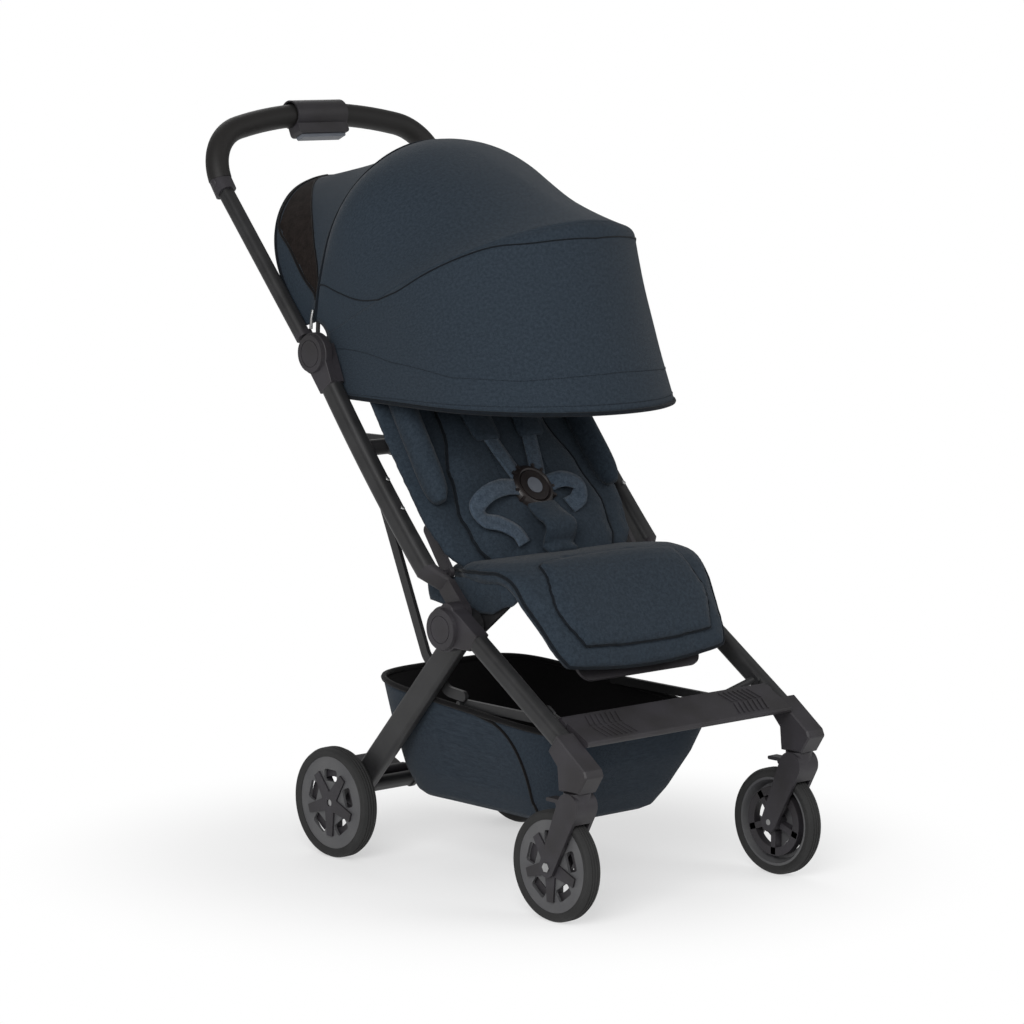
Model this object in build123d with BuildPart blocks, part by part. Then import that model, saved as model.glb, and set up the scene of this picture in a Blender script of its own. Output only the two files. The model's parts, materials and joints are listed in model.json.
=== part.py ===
import math
import os

from build123d import *

os.makedirs("parts", exist_ok=True)

# A compact folding stroller, in millimetres. X runs across it, with its left side at +X,
# Y runs from the front (-) to the handlebar (+), and Z is up from the floor.
# The frame turns on two hub axes that run across the stroller, one on each side plate.

# Wheels
front_wheel_radius = 74.0
front_tyre_width = 24.0
rear_wheel_radius = 78.0
rear_tyre_width = 25.0
tyre_height = 12.5
tyre_shoulder = 5.0
rim_width = 18.0
rim_depth = 7.0
dish_thickness = 4.0
spoke_count = 5
spoke_rise = 3.0
spoke_length = 47.0
spoke_root = 20.0
spoke_tip = 12.0
window_depth = 17.0
window_width = 15.0
wheel_hub_radius = 13.0
front_axle_diameter = 8.0
rear_axle_diameter = 10.0
shaft_play = 0.05

# Places in side view, from the hub
hub_y = -128.3
hub_z = 360.0
front_axle_ahead = 214.0
caster_trail = 39.0
collar_z = 178.0
rear_axle_behind = 275.0
seat_pivot_ahead = 6.0
seat_pivot_rise = 22.0

# Half widths across the stroller
front_track = 207.0
caster_offset = 3.5
seat_tube_offset = 2.5
rear_leg_foot_plane = 146.0
side_gap = 0.6

# Tubes and bars
leg_width = 22.0
leg_depth = 26.0
leg_slope = 33.8
leg_axis_rise = 22.0
knuckle_length = 56.0
leg_tube_end = 252.0
tube_wall = 1.8
spigot_length = 18.0
spigot_play = 0.2
seat_tube_width = 23.0
seat_tube_depth = 30.0
rear_leg_width = 18.0
rear_leg_depth = 37.0
rear_leg_wall = 2.0
handle_tube_width = 20.0
handle_tube_depth = 21.0
grip_radius = 16.5
link_thickness = 6.0
link_depth = 14.0

# Hub and hinge pieces
hub_radius = 31.0
hub_cover_rise = 6.0
hub_cover_ring = 19.0
hub_pin_diameter = 10.0
connector_thickness = 10.8
connector_eye_radius = 14.0
rear_head_radius = 23.0
mid_disc_radius = 29.0
mid_cover_rise = 5.0
mid_pin_diameter = 8.0
mid_lug_radius = 11.0

# Seat tube, from the hub in side view
tube_foot_behind = 43.0
tube_foot_rise = 73.0
tube_top_behind = 239.0
tube_top_rise = 305.0
tube_bow = 4.0

# Mid hinge, from the hub in side view
mid_disc_behind = 267.1
mid_disc_rise = 350.2
mid_pin_setback = 20.0

# Handle
handle_angle = 48.6
handle_tube_start = 42.0
handle_tube_length = 250.0
grip_angle = 66.0
grip_rise = 95.2
grip_inset = 2.0
grip_corner = 75.0
grip_crown = 620.0
collar_length = 24.0
collar_width = 27.0
collar_depth = 29.0

leg_plane = front_track - caster_offset
seat_plane = leg_plane + seat_tube_offset
grip_half_width = seat_plane - grip_inset
hub = (hub_y, hub_z)
front_axle = (hub_y - front_axle_ahead, front_wheel_radius)
caster_y = front_axle[0] - caster_trail
rear_axle = (hub_y + rear_axle_behind, rear_wheel_radius)
seat_pivot = (hub_y - seat_pivot_ahead, hub_z + seat_pivot_rise)
knuckle_inner = leg_plane - leg_width / 2
knuckle_outer = leg_plane + leg_width / 2
connector_outer = knuckle_inner - side_gap
connector_inner = connector_outer - connector_thickness
rear_head_outer = connector_inner - side_gap
rear_head_inner = rear_head_outer - rear_leg_width
rear_leg_head_plane = rear_head_outer - rear_leg_width / 2


def side(x):
    """Side-view plane at x: local x runs along Y and local y along Z, and it faces +X."""
    return Plane(origin=(x, 0, 0), x_dir=(0, 1, 0), z_dir=(1, 0, 0))


def from_point(point, angle, distance):
    """A side-view point at a distance from another, along an angle measured from +Y up to +Z."""
    turn = math.radians(angle)
    return (point[0] + distance * math.cos(turn), point[1] + distance * math.sin(turn))


def along(x, point, angle):
    """Plane across a tube that leaves a side-view point at an angle; local x runs along X."""
    turn = math.radians(angle)
    return Plane(
        origin=(x, point[0], point[1]),
        x_dir=(1, 0, 0),
        z_dir=(0, math.cos(turn), math.sin(turn)),
    )


def cross_axis(point):
    """Axis across the stroller through a side-view point."""
    return Axis((0, point[0], point[1]), (1, 0, 0))


def save(piece, name):
    piece.part.label = name
    export_step(piece.part, f"parts/{name}.step")


def save_sides(piece, name):
    """Writes the left piece and its mirror image on the right."""
    save(piece, name + "_left")
    with BuildPart() as other:
        mirror(piece.part, about=Plane.YZ)
    save(other, name + "_right")


def save_both(piece, name):
    """Writes the left piece and its mirror image on the right as one file."""
    with BuildPart() as both:
        add(piece.part)
        mirror(piece.part, about=Plane.YZ)
    save(both, name)


def rod(x0, x1, point, diameter, mode=Mode.ADD):
    """Round rod across the stroller from x0 to x1."""
    with BuildSketch(side(x0)) as disc:
        with Locations(point):
            Circle(diameter / 2)
    extrude(disc.sketch, amount=x1 - x0, mode=mode)


# Front leg: a straight oval tube from the hub knuckle down to the caster housing
leg_heading = 180 + leg_slope
leg_root = from_point(hub, leg_heading - 90, leg_axis_rise)
leg_start = from_point(leg_root, leg_heading, knuckle_length)
leg_end = from_point(leg_root, leg_heading, leg_tube_end)
leg_corner = 8.0

with BuildPart() as front_leg:
    with BuildSketch(along(leg_plane, leg_start, leg_heading)):
        RectangleRounded(leg_width, leg_depth, leg_corner)
        RectangleRounded(
            leg_width - 2 * tube_wall, leg_depth - 2 * tube_wall, leg_corner - tube_wall, mode=Mode.SUBTRACT
        )
    extrude(amount=leg_tube_end - knuckle_length)
save_sides(front_leg, "front_leg")

# Hub knuckle: round housing on the hub that runs into the front leg, with a raised round cover outside,
# and blind bores inside for the rear leg's pin and the seat tube's pin
pin_seat = 12.0
knuckle_edge = 1.5
ring_groove = 0.8
seat_pin_diameter = 8.0

with BuildPart() as knuckle:
    with BuildSketch(side(knuckle_inner)):
        with Locations(hub):
            Circle(hub_radius)
        with BuildLine():
            Polyline(
                from_point(from_point(hub, leg_heading - 90, leg_axis_rise + leg_depth / 2), leg_heading, 12),
                from_point(from_point(leg_start, leg_heading - 90, leg_depth / 2), leg_heading, 0),
                from_point(from_point(leg_start, leg_heading + 90, leg_depth / 2), leg_heading, 0),
                from_point(hub, leg_heading + 25, hub_radius - 4),
                hub,
                from_point(hub, 112, hub_radius + 2),
                close=True,
            )
        make_face()
        with Locations(seat_pivot):
            Circle(connector_eye_radius)
    extrude(amount=leg_width)
    fillet(knuckle.faces().sort_by(Axis.X)[-1].edges(), knuckle_edge)
    with BuildSketch(side(knuckle_outer)):
        with Locations(hub):
            Circle(hub_radius - 2.5)
    extrude(amount=hub_cover_rise, taper=12)
    with BuildSketch(side(knuckle_outer + hub_cover_rise)):
        with Locations(hub):
            Circle(hub_cover_ring)
            Circle(hub_cover_ring - 1.2, mode=Mode.SUBTRACT)
    extrude(amount=-ring_groove, mode=Mode.SUBTRACT)
    with BuildSketch(along(leg_plane, leg_start, leg_heading)):
        RectangleRounded(
            leg_width - 2 * tube_wall - 2 * spigot_play,
            leg_depth - 2 * tube_wall - 2 * spigot_play,
            leg_corner - tube_wall - spigot_play,
        )
    extrude(amount=spigot_length)
    rod(knuckle_inner, knuckle_inner + pin_seat, hub, hub_pin_diameter, Mode.SUBTRACT)
    rod(knuckle_inner, knuckle_inner + pin_seat, seat_pivot, seat_pin_diameter, Mode.SUBTRACT)
save_both(knuckle, "hub_knuckles")

# Hub pins: the rear leg and the seat base turn on the long pin, the seat tube on the short one
seat_lug_outer = rear_head_inner - side_gap
seat_plate_thickness = 6.0
seat_lug_inner = 149.0

with BuildPart() as hub_pins:
    rod(seat_lug_inner, knuckle_inner + pin_seat, hub, hub_pin_diameter)
    rod(connector_inner, knuckle_inner + pin_seat, seat_pivot, seat_pin_diameter)
    mirror(about=Plane.YZ)
save(hub_pins, "hub_pins")

# Caster housing: a moulded elbow that closes the leg's lower end and holds the swivel stem
housing_width = 33.0
housing_edge = 4.0
stem_diameter = 12.0
stem_length = 26.0
housing_radius = 19.0

with BuildPart() as housing:
    with BuildSketch(side(front_track - housing_width / 2)):
        with BuildLine():
            Polyline(
                from_point(leg_end, leg_heading - 90, leg_depth / 2 + 0.5),
                (caster_y - 30, collar_z + 32),
                (caster_y - 34, collar_z + 23),
                (caster_y - housing_radius, collar_z),
                (caster_y + housing_radius, collar_z),
                (caster_y + 22, collar_z + 31),
                from_point(leg_end, leg_heading + 90, leg_depth / 2 + 0.5),
                close=True,
            )
        make_face()
    extrude(amount=housing_width)
    fillet(housing.edges().filter_by(Axis.X).sort_by(Axis.Y)[:2], housing_edge)
    chamfer(housing.faces().sort_by(Axis.X)[-1].edges() + housing.faces().sort_by(Axis.X)[0].edges(), 2.0)
    with BuildSketch(along(leg_plane, leg_end, leg_heading + 180)):
        RectangleRounded(
            leg_width - 2 * tube_wall - 2 * spigot_play,
            leg_depth - 2 * tube_wall - 2 * spigot_play,
            leg_corner - tube_wall - spigot_play,
        )
    extrude(amount=spigot_length)
    with Locations((front_track, caster_y, collar_z)):
        Cylinder(
            stem_diameter / 2 + shaft_play,
            stem_length + side_gap,
            align=(Align.CENTER, Align.CENTER, Align.MIN),
            mode=Mode.SUBTRACT,
        )
save_both(housing, "caster_housings")

# Caster fork: swivel collar and stem, with two arms that trail back to the axle
collar_gap = 1.0
fork_crown = 158.0
arm_thickness = 5.0
arm_gap = 1.5
axle_boss_radius = 13.5
tyre_clearance = 4.5
fork_half = front_tyre_width / 2 + arm_gap + arm_thickness
lever_pivot = (caster_y + 25, fork_crown + 2)
lever_pin_diameter = 3.0
lever_half_width = 8.0
ear_thickness = 3.0

with BuildPart() as fork:
    with BuildSketch(side(front_track - fork_half)):
        with Locations((caster_y, fork_crown)):
            Circle(housing_radius)
        with Locations(front_axle):
            Circle(axle_boss_radius)
        make_hull()
    extrude(amount=2 * fork_half)
    with BuildSketch(Plane.XY.offset(fork_crown)):
        with Locations((front_track, caster_y)):
            Circle(housing_radius - 1)
    extrude(amount=collar_z - collar_gap - fork_crown)
    with BuildSketch(side(front_track - fork_half + arm_thickness)):
        with Locations(front_axle):
            Circle(front_wheel_radius + tyre_clearance)
    extrude(amount=2 * (fork_half - arm_thickness), mode=Mode.SUBTRACT)
    rod(front_track - fork_half, front_track + fork_half, front_axle, front_axle_diameter, Mode.SUBTRACT)
    with Locations((front_track, caster_y, collar_z - collar_gap)):
        Cylinder(
            stem_diameter / 2,
            stem_length,
            align=(Align.CENTER, Align.CENTER, Align.MIN),
        )
    for ear in (lever_half_width + side_gap, -lever_half_width - side_gap - ear_thickness):
        with BuildSketch(side(front_track + ear)):
            with Locations(lever_pivot):
                Circle(4.5)
            with Locations((caster_y + 12, lever_pivot[1])):
                Rectangle(26, 9)
        extrude(amount=ear_thickness)
    rod(
        front_track - lever_half_width - side_gap,
        front_track + lever_half_width + side_gap,
        lever_pivot,
        lever_pin_diameter,
    )
save_sides(fork, "caster_fork")

# Swivel lock: a small tab that flips on a pin behind the fork's crown
lever_length = 26.0
lever_tail = 4.0

with BuildPart() as lever:
    with BuildSketch(side(front_track - lever_half_width)):
        with Locations(lever_pivot):
            Circle(4)
            with Locations((lever_length / 2, 1.5)):
                RectangleRounded(lever_length, 5, 2)
            Circle(lever_pin_diameter / 2 + shaft_play, mode=Mode.SUBTRACT)
    extrude(amount=2 * lever_half_width)
save_sides(lever, "swivel_lock")

# Front axle: a shouldered bolt through both fork arms, with its hex head outside
bolt_head = 13.0
bolt_head_height = 1.6

with BuildPart() as front_axle_bolt:
    rod(front_track - fork_half, front_track + fork_half, front_axle, front_axle_diameter)
    with BuildSketch(side(front_track + fork_half)):
        with Locations(front_axle):
            RegularPolygon(bolt_head / 2, 6)
    extrude(amount=bolt_head_height)
save_sides(front_axle_bolt, "front_axle")


def wheel(name, track, axle, radius, width, axle_diameter, hub_inner):
    """A tyre on a grey dish with five windows, and a black hub whose arms lie over the dish."""
    tyre_inner = radius - tyre_height
    outer = track + width / 2
    rim_outer = track + rim_width / 2
    web_outer = outer - spoke_rise
    section = Plane(origin=(track, axle[0], axle[1]), x_dir=(1, 0, 0), z_dir=(0, -1, 0))

    with BuildPart() as tyre:
        with BuildSketch(section):
            with BuildLine():
                half = width / 2
                shoulder = radius - tyre_shoulder
                Polyline((half, shoulder), (half, tyre_inner), (-half, tyre_inner), (-half, shoulder))
                ThreePointArc((-half, shoulder), (0, radius), (half, shoulder))
            make_face()
        revolve(axis=cross_axis(axle))
    save_sides(tyre, name + "_tyre")

    with BuildPart() as dish:
        with BuildSketch(section):
            with BuildLine():
                Polyline(
                    (web_outer - track, wheel_hub_radius),
                    (web_outer - track, tyre_inner - rim_depth),
                    (rim_outer - track, tyre_inner),
                    (-rim_width / 2, tyre_inner),
                    (-rim_width / 2, tyre_inner - rim_depth / 2),
                    (web_outer - track - dish_thickness, tyre_inner - rim_depth - 2),
                    (web_outer - track - dish_thickness, wheel_hub_radius),
                    close=True,
                )
            make_face()
        revolve(axis=cross_axis(axle))
        with BuildSketch(side(web_outer)):
            with Locations(axle):
                with PolarLocations(spoke_length - window_depth / 2, spoke_count, start_angle=90):
                    RectangleRounded(window_depth, window_width + spoke_tip, 4)
        extrude(amount=-2 * dish_thickness, mode=Mode.SUBTRACT)
    save_sides(dish, name + "_dish")

    with BuildPart() as hub_piece:
        rod(hub_inner, web_outer, axle, 2 * wheel_hub_radius)
        with BuildSketch(side(web_outer)):
            with Locations(axle):
                Circle(wheel_hub_radius + 3)
                with PolarLocations(0, spoke_count, start_angle=90 + 180 / spoke_count):
                    Polygon(
                        (0, spoke_root / 2),
                        (spoke_length, spoke_tip / 2),
                        (spoke_length, -spoke_tip / 2),
                        (0, -spoke_root / 2),
                        align=None,
                    )
        extrude(amount=spoke_rise)
        rod(hub_inner, outer, axle, axle_diameter + 2 * shaft_play, Mode.SUBTRACT)
    save_sides(hub_piece, name + "_hub")


rear_tyre_inner = 161.5
rear_track = rear_tyre_inner + rear_tyre_width / 2
wheel(
    "front_wheel",
    front_track,
    front_axle,
    front_wheel_radius,
    front_tyre_width,
    front_axle_diameter,
    front_track - front_tyre_width / 2 - arm_gap + side_gap,
)
wheel(
    "rear_wheel",
    rear_track,
    rear_axle,
    rear_wheel_radius,
    rear_tyre_width,
    rear_axle_diameter,
    rear_leg_foot_plane + rear_leg_width / 2 + 1.5,
)

# Rear leg: a flat tube that leans inwards from the hub down to its moulded end
rear_reach = math.dist(hub, rear_axle)
rear_heading = math.degrees(math.atan2(rear_axle[1] - hub[1], rear_axle[0] - hub[0]))
rear_end_length = 62.0
rear_leg_end = rear_reach - rear_end_length
rear_leg_corner = 6.0


def rear_plane(distance):
    """Half width of the rear leg's middle at a distance from the hub."""
    return rear_leg_head_plane + (rear_leg_foot_plane - rear_leg_head_plane) * distance / rear_reach


def rear_section(shrink):
    """Rounded section of the rear leg, square to its heading in side view."""
    return RectangleRounded(
        rear_leg_width - 2 * shrink, rear_leg_depth - 2 * shrink, rear_leg_corner - shrink
    )


with BuildPart() as rear_leg:
    rod(rear_head_inner, rear_head_outer, hub, 2 * rear_head_radius)
    with BuildSketch(along(rear_plane(0), hub, rear_heading)):
        rear_section(0)
    with BuildSketch(along(rear_plane(rear_leg_end), from_point(hub, rear_heading, rear_leg_end), rear_heading)):
        rear_section(0)
    loft()
    with BuildSketch(along(rear_plane(60), from_point(hub, rear_heading, 60), rear_heading)):
        rear_section(rear_leg_wall)
    with BuildSketch(along(rear_plane(rear_leg_end), from_point(hub, rear_heading, rear_leg_end), rear_heading)):
        rear_section(rear_leg_wall)
    loft(mode=Mode.SUBTRACT)
    rod(rear_head_inner - 5, rear_head_outer + 5, hub, hub_pin_diameter + 2 * shaft_play, Mode.SUBTRACT)
    with BuildSketch(side(rear_head_outer)):
        with Locations(hub):
            Circle(2 * rear_head_radius)
    extrude(amount=5, mode=Mode.SUBTRACT)
    with BuildSketch(side(rear_head_inner)):
        with Locations(hub):
            Circle(1.4 * rear_head_radius)
    extrude(amount=-5, mode=Mode.SUBTRACT)
save_sides(rear_leg, "rear_leg")

# Rear leg end: moulded piece from the leg's foot to the axle boss
rear_end_inner = rear_leg_foot_plane - rear_leg_width / 2
rear_end_outer = rear_leg_foot_plane + rear_leg_width / 2
end_boss_radius = 15.0
rear_foot = from_point(hub, rear_heading, rear_leg_end)

with BuildPart() as rear_end:
    with BuildSketch(along(rear_plane(rear_leg_end), rear_foot, rear_heading)):
        rear_section(0)
    with BuildSketch(along(rear_leg_foot_plane, rear_axle, rear_heading)):
        RectangleRounded(rear_leg_width, 2 * end_boss_radius - 1, rear_leg_corner)
    loft()
    with BuildSketch(side(rear_end_inner)):
        with Locations(rear_axle):
            Circle(end_boss_radius)
    extrude(amount=rear_leg_width)
    for distance in (rear_leg_end, rear_leg_end - spigot_length):
        with BuildSketch(along(rear_plane(distance), from_point(hub, rear_heading, distance), rear_heading)):
            rear_section(rear_leg_wall + spigot_play)
    loft()
    rod(rear_end_inner - 3, rear_end_outer + 3, rear_axle, rear_axle_diameter, Mode.SUBTRACT)
    mirror(about=Plane.YZ)
save(rear_end, "rear_leg_ends")

# Axle bar: an oval tube between the two leg ends, and a stub axle at each end for the rear wheels
axle_bar_rise = 30.0
axle_bar_width = 24.0
axle_bar_height = 18.0
axle_bar = from_point(rear_axle, rear_heading + 180, axle_bar_rise)

axle_cap = 1.5
with BuildPart() as rear_axles:
    rod(rear_end_inner, rear_track + rear_tyre_width / 2 - axle_cap, rear_axle, rear_axle_diameter)
    mirror(about=Plane.YZ)
save(rear_axles, "rear_axles")

# Brake pedal: a foot tab that turns on the axle bar's clamp, behind the right leg end
pedal_inner = 56.0
pedal_width = 70.0
pedal_pin_diameter = 8.0
pedal_pivot = from_point(axle_bar, rear_heading + 90, axle_bar_height / 2 + 9)
pedal_length = 44.0
pedal_thickness = 7.0
pedal_rise = 24.0
ear_width = 6.0

with BuildPart() as pedal:
    with BuildSketch(side(-pedal_inner - pedal_width)):
        with Locations(pedal_pivot):
            Circle(pedal_pin_diameter / 2 + 4)
        with Locations(Location(pedal_pivot, pedal_rise)):
            with Locations((pedal_length / 2, 0)):
                RectangleRounded(pedal_length, pedal_thickness, 3)
        with Locations(pedal_pivot):
            Circle(pedal_pin_diameter / 2 + shaft_play, mode=Mode.SUBTRACT)
    extrude(amount=pedal_width)
save(pedal, "brake_pedal")

with BuildPart() as rear_axle_bar:
    with BuildSketch(side(-rear_end_inner - 1)):
        with Locations(Location(axle_bar, rear_heading)):
            SlotOverall(axle_bar_width, axle_bar_height)
    extrude(amount=2 * rear_end_inner + 2)
    for start in (-pedal_inner + side_gap, -pedal_inner - pedal_width - side_gap - ear_width):
        with BuildSketch(side(start)):
            with Locations(pedal_pivot):
                Circle(pedal_pin_diameter / 2 + 3)
            with Locations(Location(axle_bar, rear_heading)):
                SlotOverall(axle_bar_width + 4, axle_bar_height + 4)
            make_hull()
        extrude(amount=ear_width)
    rod(
        -pedal_inner - pedal_width - side_gap,
        -pedal_inner + side_gap,
        pedal_pivot,
        pedal_pin_diameter,
    )
save(rear_axle_bar, "rear_axle_bar")

# Seat tube: a rounded tube with a slight bow, from the hub connector up to the mid hinge
tube_foot = (hub_y + tube_foot_behind, hub_z + tube_foot_rise)
tube_top = (hub_y + tube_top_behind, hub_z + tube_top_rise)
tube_heading = math.degrees(math.atan2(tube_top[1] - tube_foot[1], tube_top[0] - tube_foot[0]))
tube_chord = math.dist(tube_foot, tube_top)
tube_middle = from_point(from_point(tube_foot, tube_heading, tube_chord / 2), tube_heading - 90, tube_bow)
tube_turn = math.degrees(2 * math.atan2(2 * tube_bow, tube_chord))
seat_corner = 9.0
foot_heading = tube_heading - tube_turn
top_heading = tube_heading + tube_turn

with BuildPart() as seat_tube:
    with BuildLine(side(seat_plane)):
        ThreePointArc(tube_foot, tube_middle, tube_top)
    with BuildSketch(along(seat_plane, tube_foot, foot_heading)):
        RectangleRounded(seat_tube_width, seat_tube_depth, seat_corner)
        RectangleRounded(
            seat_tube_width - 2 * tube_wall,
            seat_tube_depth - 2 * tube_wall,
            seat_corner - tube_wall,
            mode=Mode.SUBTRACT,
        )
    sweep()
save_sides(seat_tube, "seat_tube")

# Lower connector: an S-shaped moulding from the seat tube in to its pivot inside the knuckle
connector_plane = (connector_inner + connector_outer) / 2
connector_heading = math.degrees(math.atan2(tube_foot[1] - seat_pivot[1], tube_foot[0] - seat_pivot[0]))
connector_reach = 44.0
connector_neck = from_point(seat_pivot, connector_heading, connector_reach)
neck_corner = 4.0

recline_pivot = from_point(tube_foot, foot_heading + 180, 7)
recline_pin_diameter = 8.0
recline_ear_inner = 168.0
recline_ear_thickness = 7.0

with BuildPart() as connector:
    with BuildSketch(along(seat_plane, tube_foot, foot_heading)):
        RectangleRounded(seat_tube_width, seat_tube_depth, seat_corner)
    with BuildSketch(along(connector_plane, connector_neck, connector_heading)):
        RectangleRounded(connector_thickness, 2 * connector_eye_radius - 2, neck_corner)
    loft()
    with BuildSketch(side(connector_inner)):
        with Locations(seat_pivot):
            Circle(connector_eye_radius)
        with BuildLine():
            Polyline(
                from_point(seat_pivot, connector_heading + 90, connector_eye_radius - 1),
                from_point(connector_neck, connector_heading + 90, connector_eye_radius - 1),
                from_point(connector_neck, connector_heading - 90, connector_eye_radius - 1),
                from_point(seat_pivot, connector_heading - 90, connector_eye_radius - 1),
                close=True,
            )
        make_face()
    extrude(amount=connector_thickness)
    with BuildSketch(along(seat_plane, tube_foot, foot_heading)):
        RectangleRounded(
            seat_tube_width - 2 * tube_wall - 2 * spigot_play,
            seat_tube_depth - 2 * tube_wall - 2 * spigot_play,
            seat_corner - tube_wall - spigot_play,
        )
    extrude(amount=spigot_length)
    rod(connector_inner, connector_outer, seat_pivot, seat_pin_diameter + 2 * shaft_play, Mode.SUBTRACT)
    rod(recline_ear_inner, seat_plane - 6, recline_pivot, recline_pin_diameter)
save_both(connector, "seat_connectors")

# Mid hinge: the lower half holds the round cover and the pin, set back behind the tubes
mid_disc = (hub_y + mid_disc_behind, hub_z + mid_disc_rise)
hinge_heading = (top_heading + handle_angle) / 2
mid_pin = from_point(mid_disc, hinge_heading - 90, mid_pin_setback)
seat_tube_inner = seat_plane - seat_tube_width / 2
seat_tube_outer = seat_plane + seat_tube_width / 2
lug_relief = 24.0
cover_ring = 19.0

with BuildPart() as mid_hinge:
    with BuildSketch(side(seat_plane + side_gap / 2)):
        with Locations(mid_disc):
            Circle(mid_disc_radius)
        with BuildLine():
            Polyline(
                from_point(tube_top, top_heading + 90, seat_tube_depth / 2),
                from_point(mid_disc, hinge_heading + 90, mid_disc_radius - 6),
                from_point(mid_pin, hinge_heading - 90, 2),
                from_point(tube_top, top_heading - 90, seat_tube_depth / 2),
                close=True,
            )
        make_face()
    extrude(amount=seat_tube_width / 2 - side_gap / 2)
    with BuildSketch(side(seat_tube_inner)):
        with BuildLine():
            Polyline(
                from_point(tube_top, top_heading + 90, seat_tube_depth / 2),
                from_point(mid_disc, hinge_heading + 90, mid_disc_radius - 6),
                from_point(mid_pin, hinge_heading - 90, 2),
                from_point(tube_top, top_heading - 90, seat_tube_depth / 2),
                close=True,
            )
        make_face()
        with Locations(mid_pin):
            Circle(lug_relief, mode=Mode.SUBTRACT)
    extrude(amount=seat_tube_width / 2)
    fillet(mid_hinge.faces().sort_by(Axis.X)[-1].edges(), 1.5)
    with BuildSketch(side(seat_tube_outer)):
        with Locations(mid_disc):
            Circle(mid_disc_radius - 2.5)
    extrude(amount=mid_cover_rise, taper=12)
    with BuildSketch(side(seat_tube_outer + mid_cover_rise)):
        with Locations(mid_disc):
            Circle(cover_ring)
            Circle(cover_ring - 1.2, mode=Mode.SUBTRACT)
    extrude(amount=-ring_groove, mode=Mode.SUBTRACT)
    with BuildSketch(along(seat_plane, tube_top, top_heading + 180)):
        RectangleRounded(
            seat_tube_width - 2 * tube_wall - 2 * spigot_play,
            seat_tube_depth - 2 * tube_wall - 2 * spigot_play,
            seat_corner - tube_wall - spigot_play,
        )
    extrude(amount=spigot_length)
    rod(seat_plane, seat_tube_outer - 2, mid_pin, mid_pin_diameter, Mode.SUBTRACT)
save_both(mid_hinge, "mid_hinges")

with BuildPart() as mid_pins:
    rod(seat_tube_inner, seat_tube_outer - 2, mid_pin, mid_pin_diameter)
    mirror(about=Plane.YZ)
save(mid_pins, "mid_hinge_pins")

# Handle: hinge lug, upper tube and collar on each side
handle_axis_ahead = 8.5
handle_root = from_point(mid_pin, handle_angle + 90, handle_axis_ahead)
handle_start = from_point(handle_root, handle_angle, handle_tube_start)
handle_end = from_point(handle_root, handle_angle, handle_tube_start + handle_tube_length)
handle_corner = 7.5
handle_inner = seat_plane - handle_tube_width / 2
lug_outer = seat_plane - side_gap / 2
full_start = 34.0

canopy_pivot = from_point(handle_root, handle_angle, 25.5)
canopy_pin_diameter = 8.0
bow_boss_width = 8.5
mid_bow_outer = handle_inner - 2.5
front_bow_outer = mid_bow_outer - bow_boss_width - 4.5
canopy_pin_inner = front_bow_outer - bow_boss_width - side_gap

with BuildPart() as handle_hinge:
    with BuildSketch(side(handle_inner)):
        with Locations(mid_pin):
            Circle(mid_lug_radius)
        with BuildLine():
            Polyline(
                from_point(mid_pin, handle_angle - 90, 2),
                from_point(handle_start, handle_angle - 90, handle_tube_depth / 2),
                from_point(handle_start, handle_angle + 90, handle_tube_depth / 2),
                from_point(mid_pin, handle_angle + 90, handle_axis_ahead + handle_tube_depth / 2 - 2),
                close=True,
            )
        make_face()
    extrude(amount=lug_outer - handle_inner)
    with BuildSketch(along(seat_plane, from_point(handle_root, handle_angle, full_start), handle_angle)):
        RectangleRounded(handle_tube_width, handle_tube_depth, handle_corner)
    extrude(amount=handle_tube_start - full_start)
    with BuildSketch(along(seat_plane, handle_start, handle_angle)):
        RectangleRounded(
            handle_tube_width - 2 * tube_wall - 2 * spigot_play,
            handle_tube_depth - 2 * tube_wall - 2 * spigot_play,
            handle_corner - tube_wall - spigot_play,
        )
    extrude(amount=spigot_length)
    rod(handle_inner, lug_outer, mid_pin, mid_pin_diameter + 2 * shaft_play, Mode.SUBTRACT)
    rod(canopy_pin_inner, handle_inner + 4, canopy_pivot, canopy_pin_diameter)
save_both(handle_hinge, "handle_hinges")

with BuildPart() as handle_tube:
    with BuildSketch(along(seat_plane, handle_start, handle_angle)):
        RectangleRounded(handle_tube_width, handle_tube_depth, handle_corner)
        RectangleRounded(
            handle_tube_width - 2 * tube_wall,
            handle_tube_depth - 2 * tube_wall,
            handle_corner - tube_wall,
            mode=Mode.SUBTRACT,
        )
    extrude(amount=handle_tube_length)
save_sides(handle_tube, "handle_tube")

with BuildPart() as collar:
    with BuildSketch(along(seat_plane, handle_end, handle_angle)):
        RectangleRounded(collar_width, collar_depth, handle_corner + 2)
    with BuildSketch(along(grip_half_width, from_point(handle_end, handle_angle, collar_length), grip_angle)):
        RectangleRounded(2 * grip_radius - 2, 2 * grip_radius - 2, grip_radius - 2)
    loft()
    with BuildSketch(along(seat_plane, handle_end, handle_angle + 180)):
        RectangleRounded(
            handle_tube_width - 2 * tube_wall - 2 * spigot_play,
            handle_tube_depth - 2 * tube_wall - 2 * spigot_play,
            handle_corner - tube_wall - spigot_play,
        )
    extrude(amount=spigot_length)
save_both(collar, "handle_collars")

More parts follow.
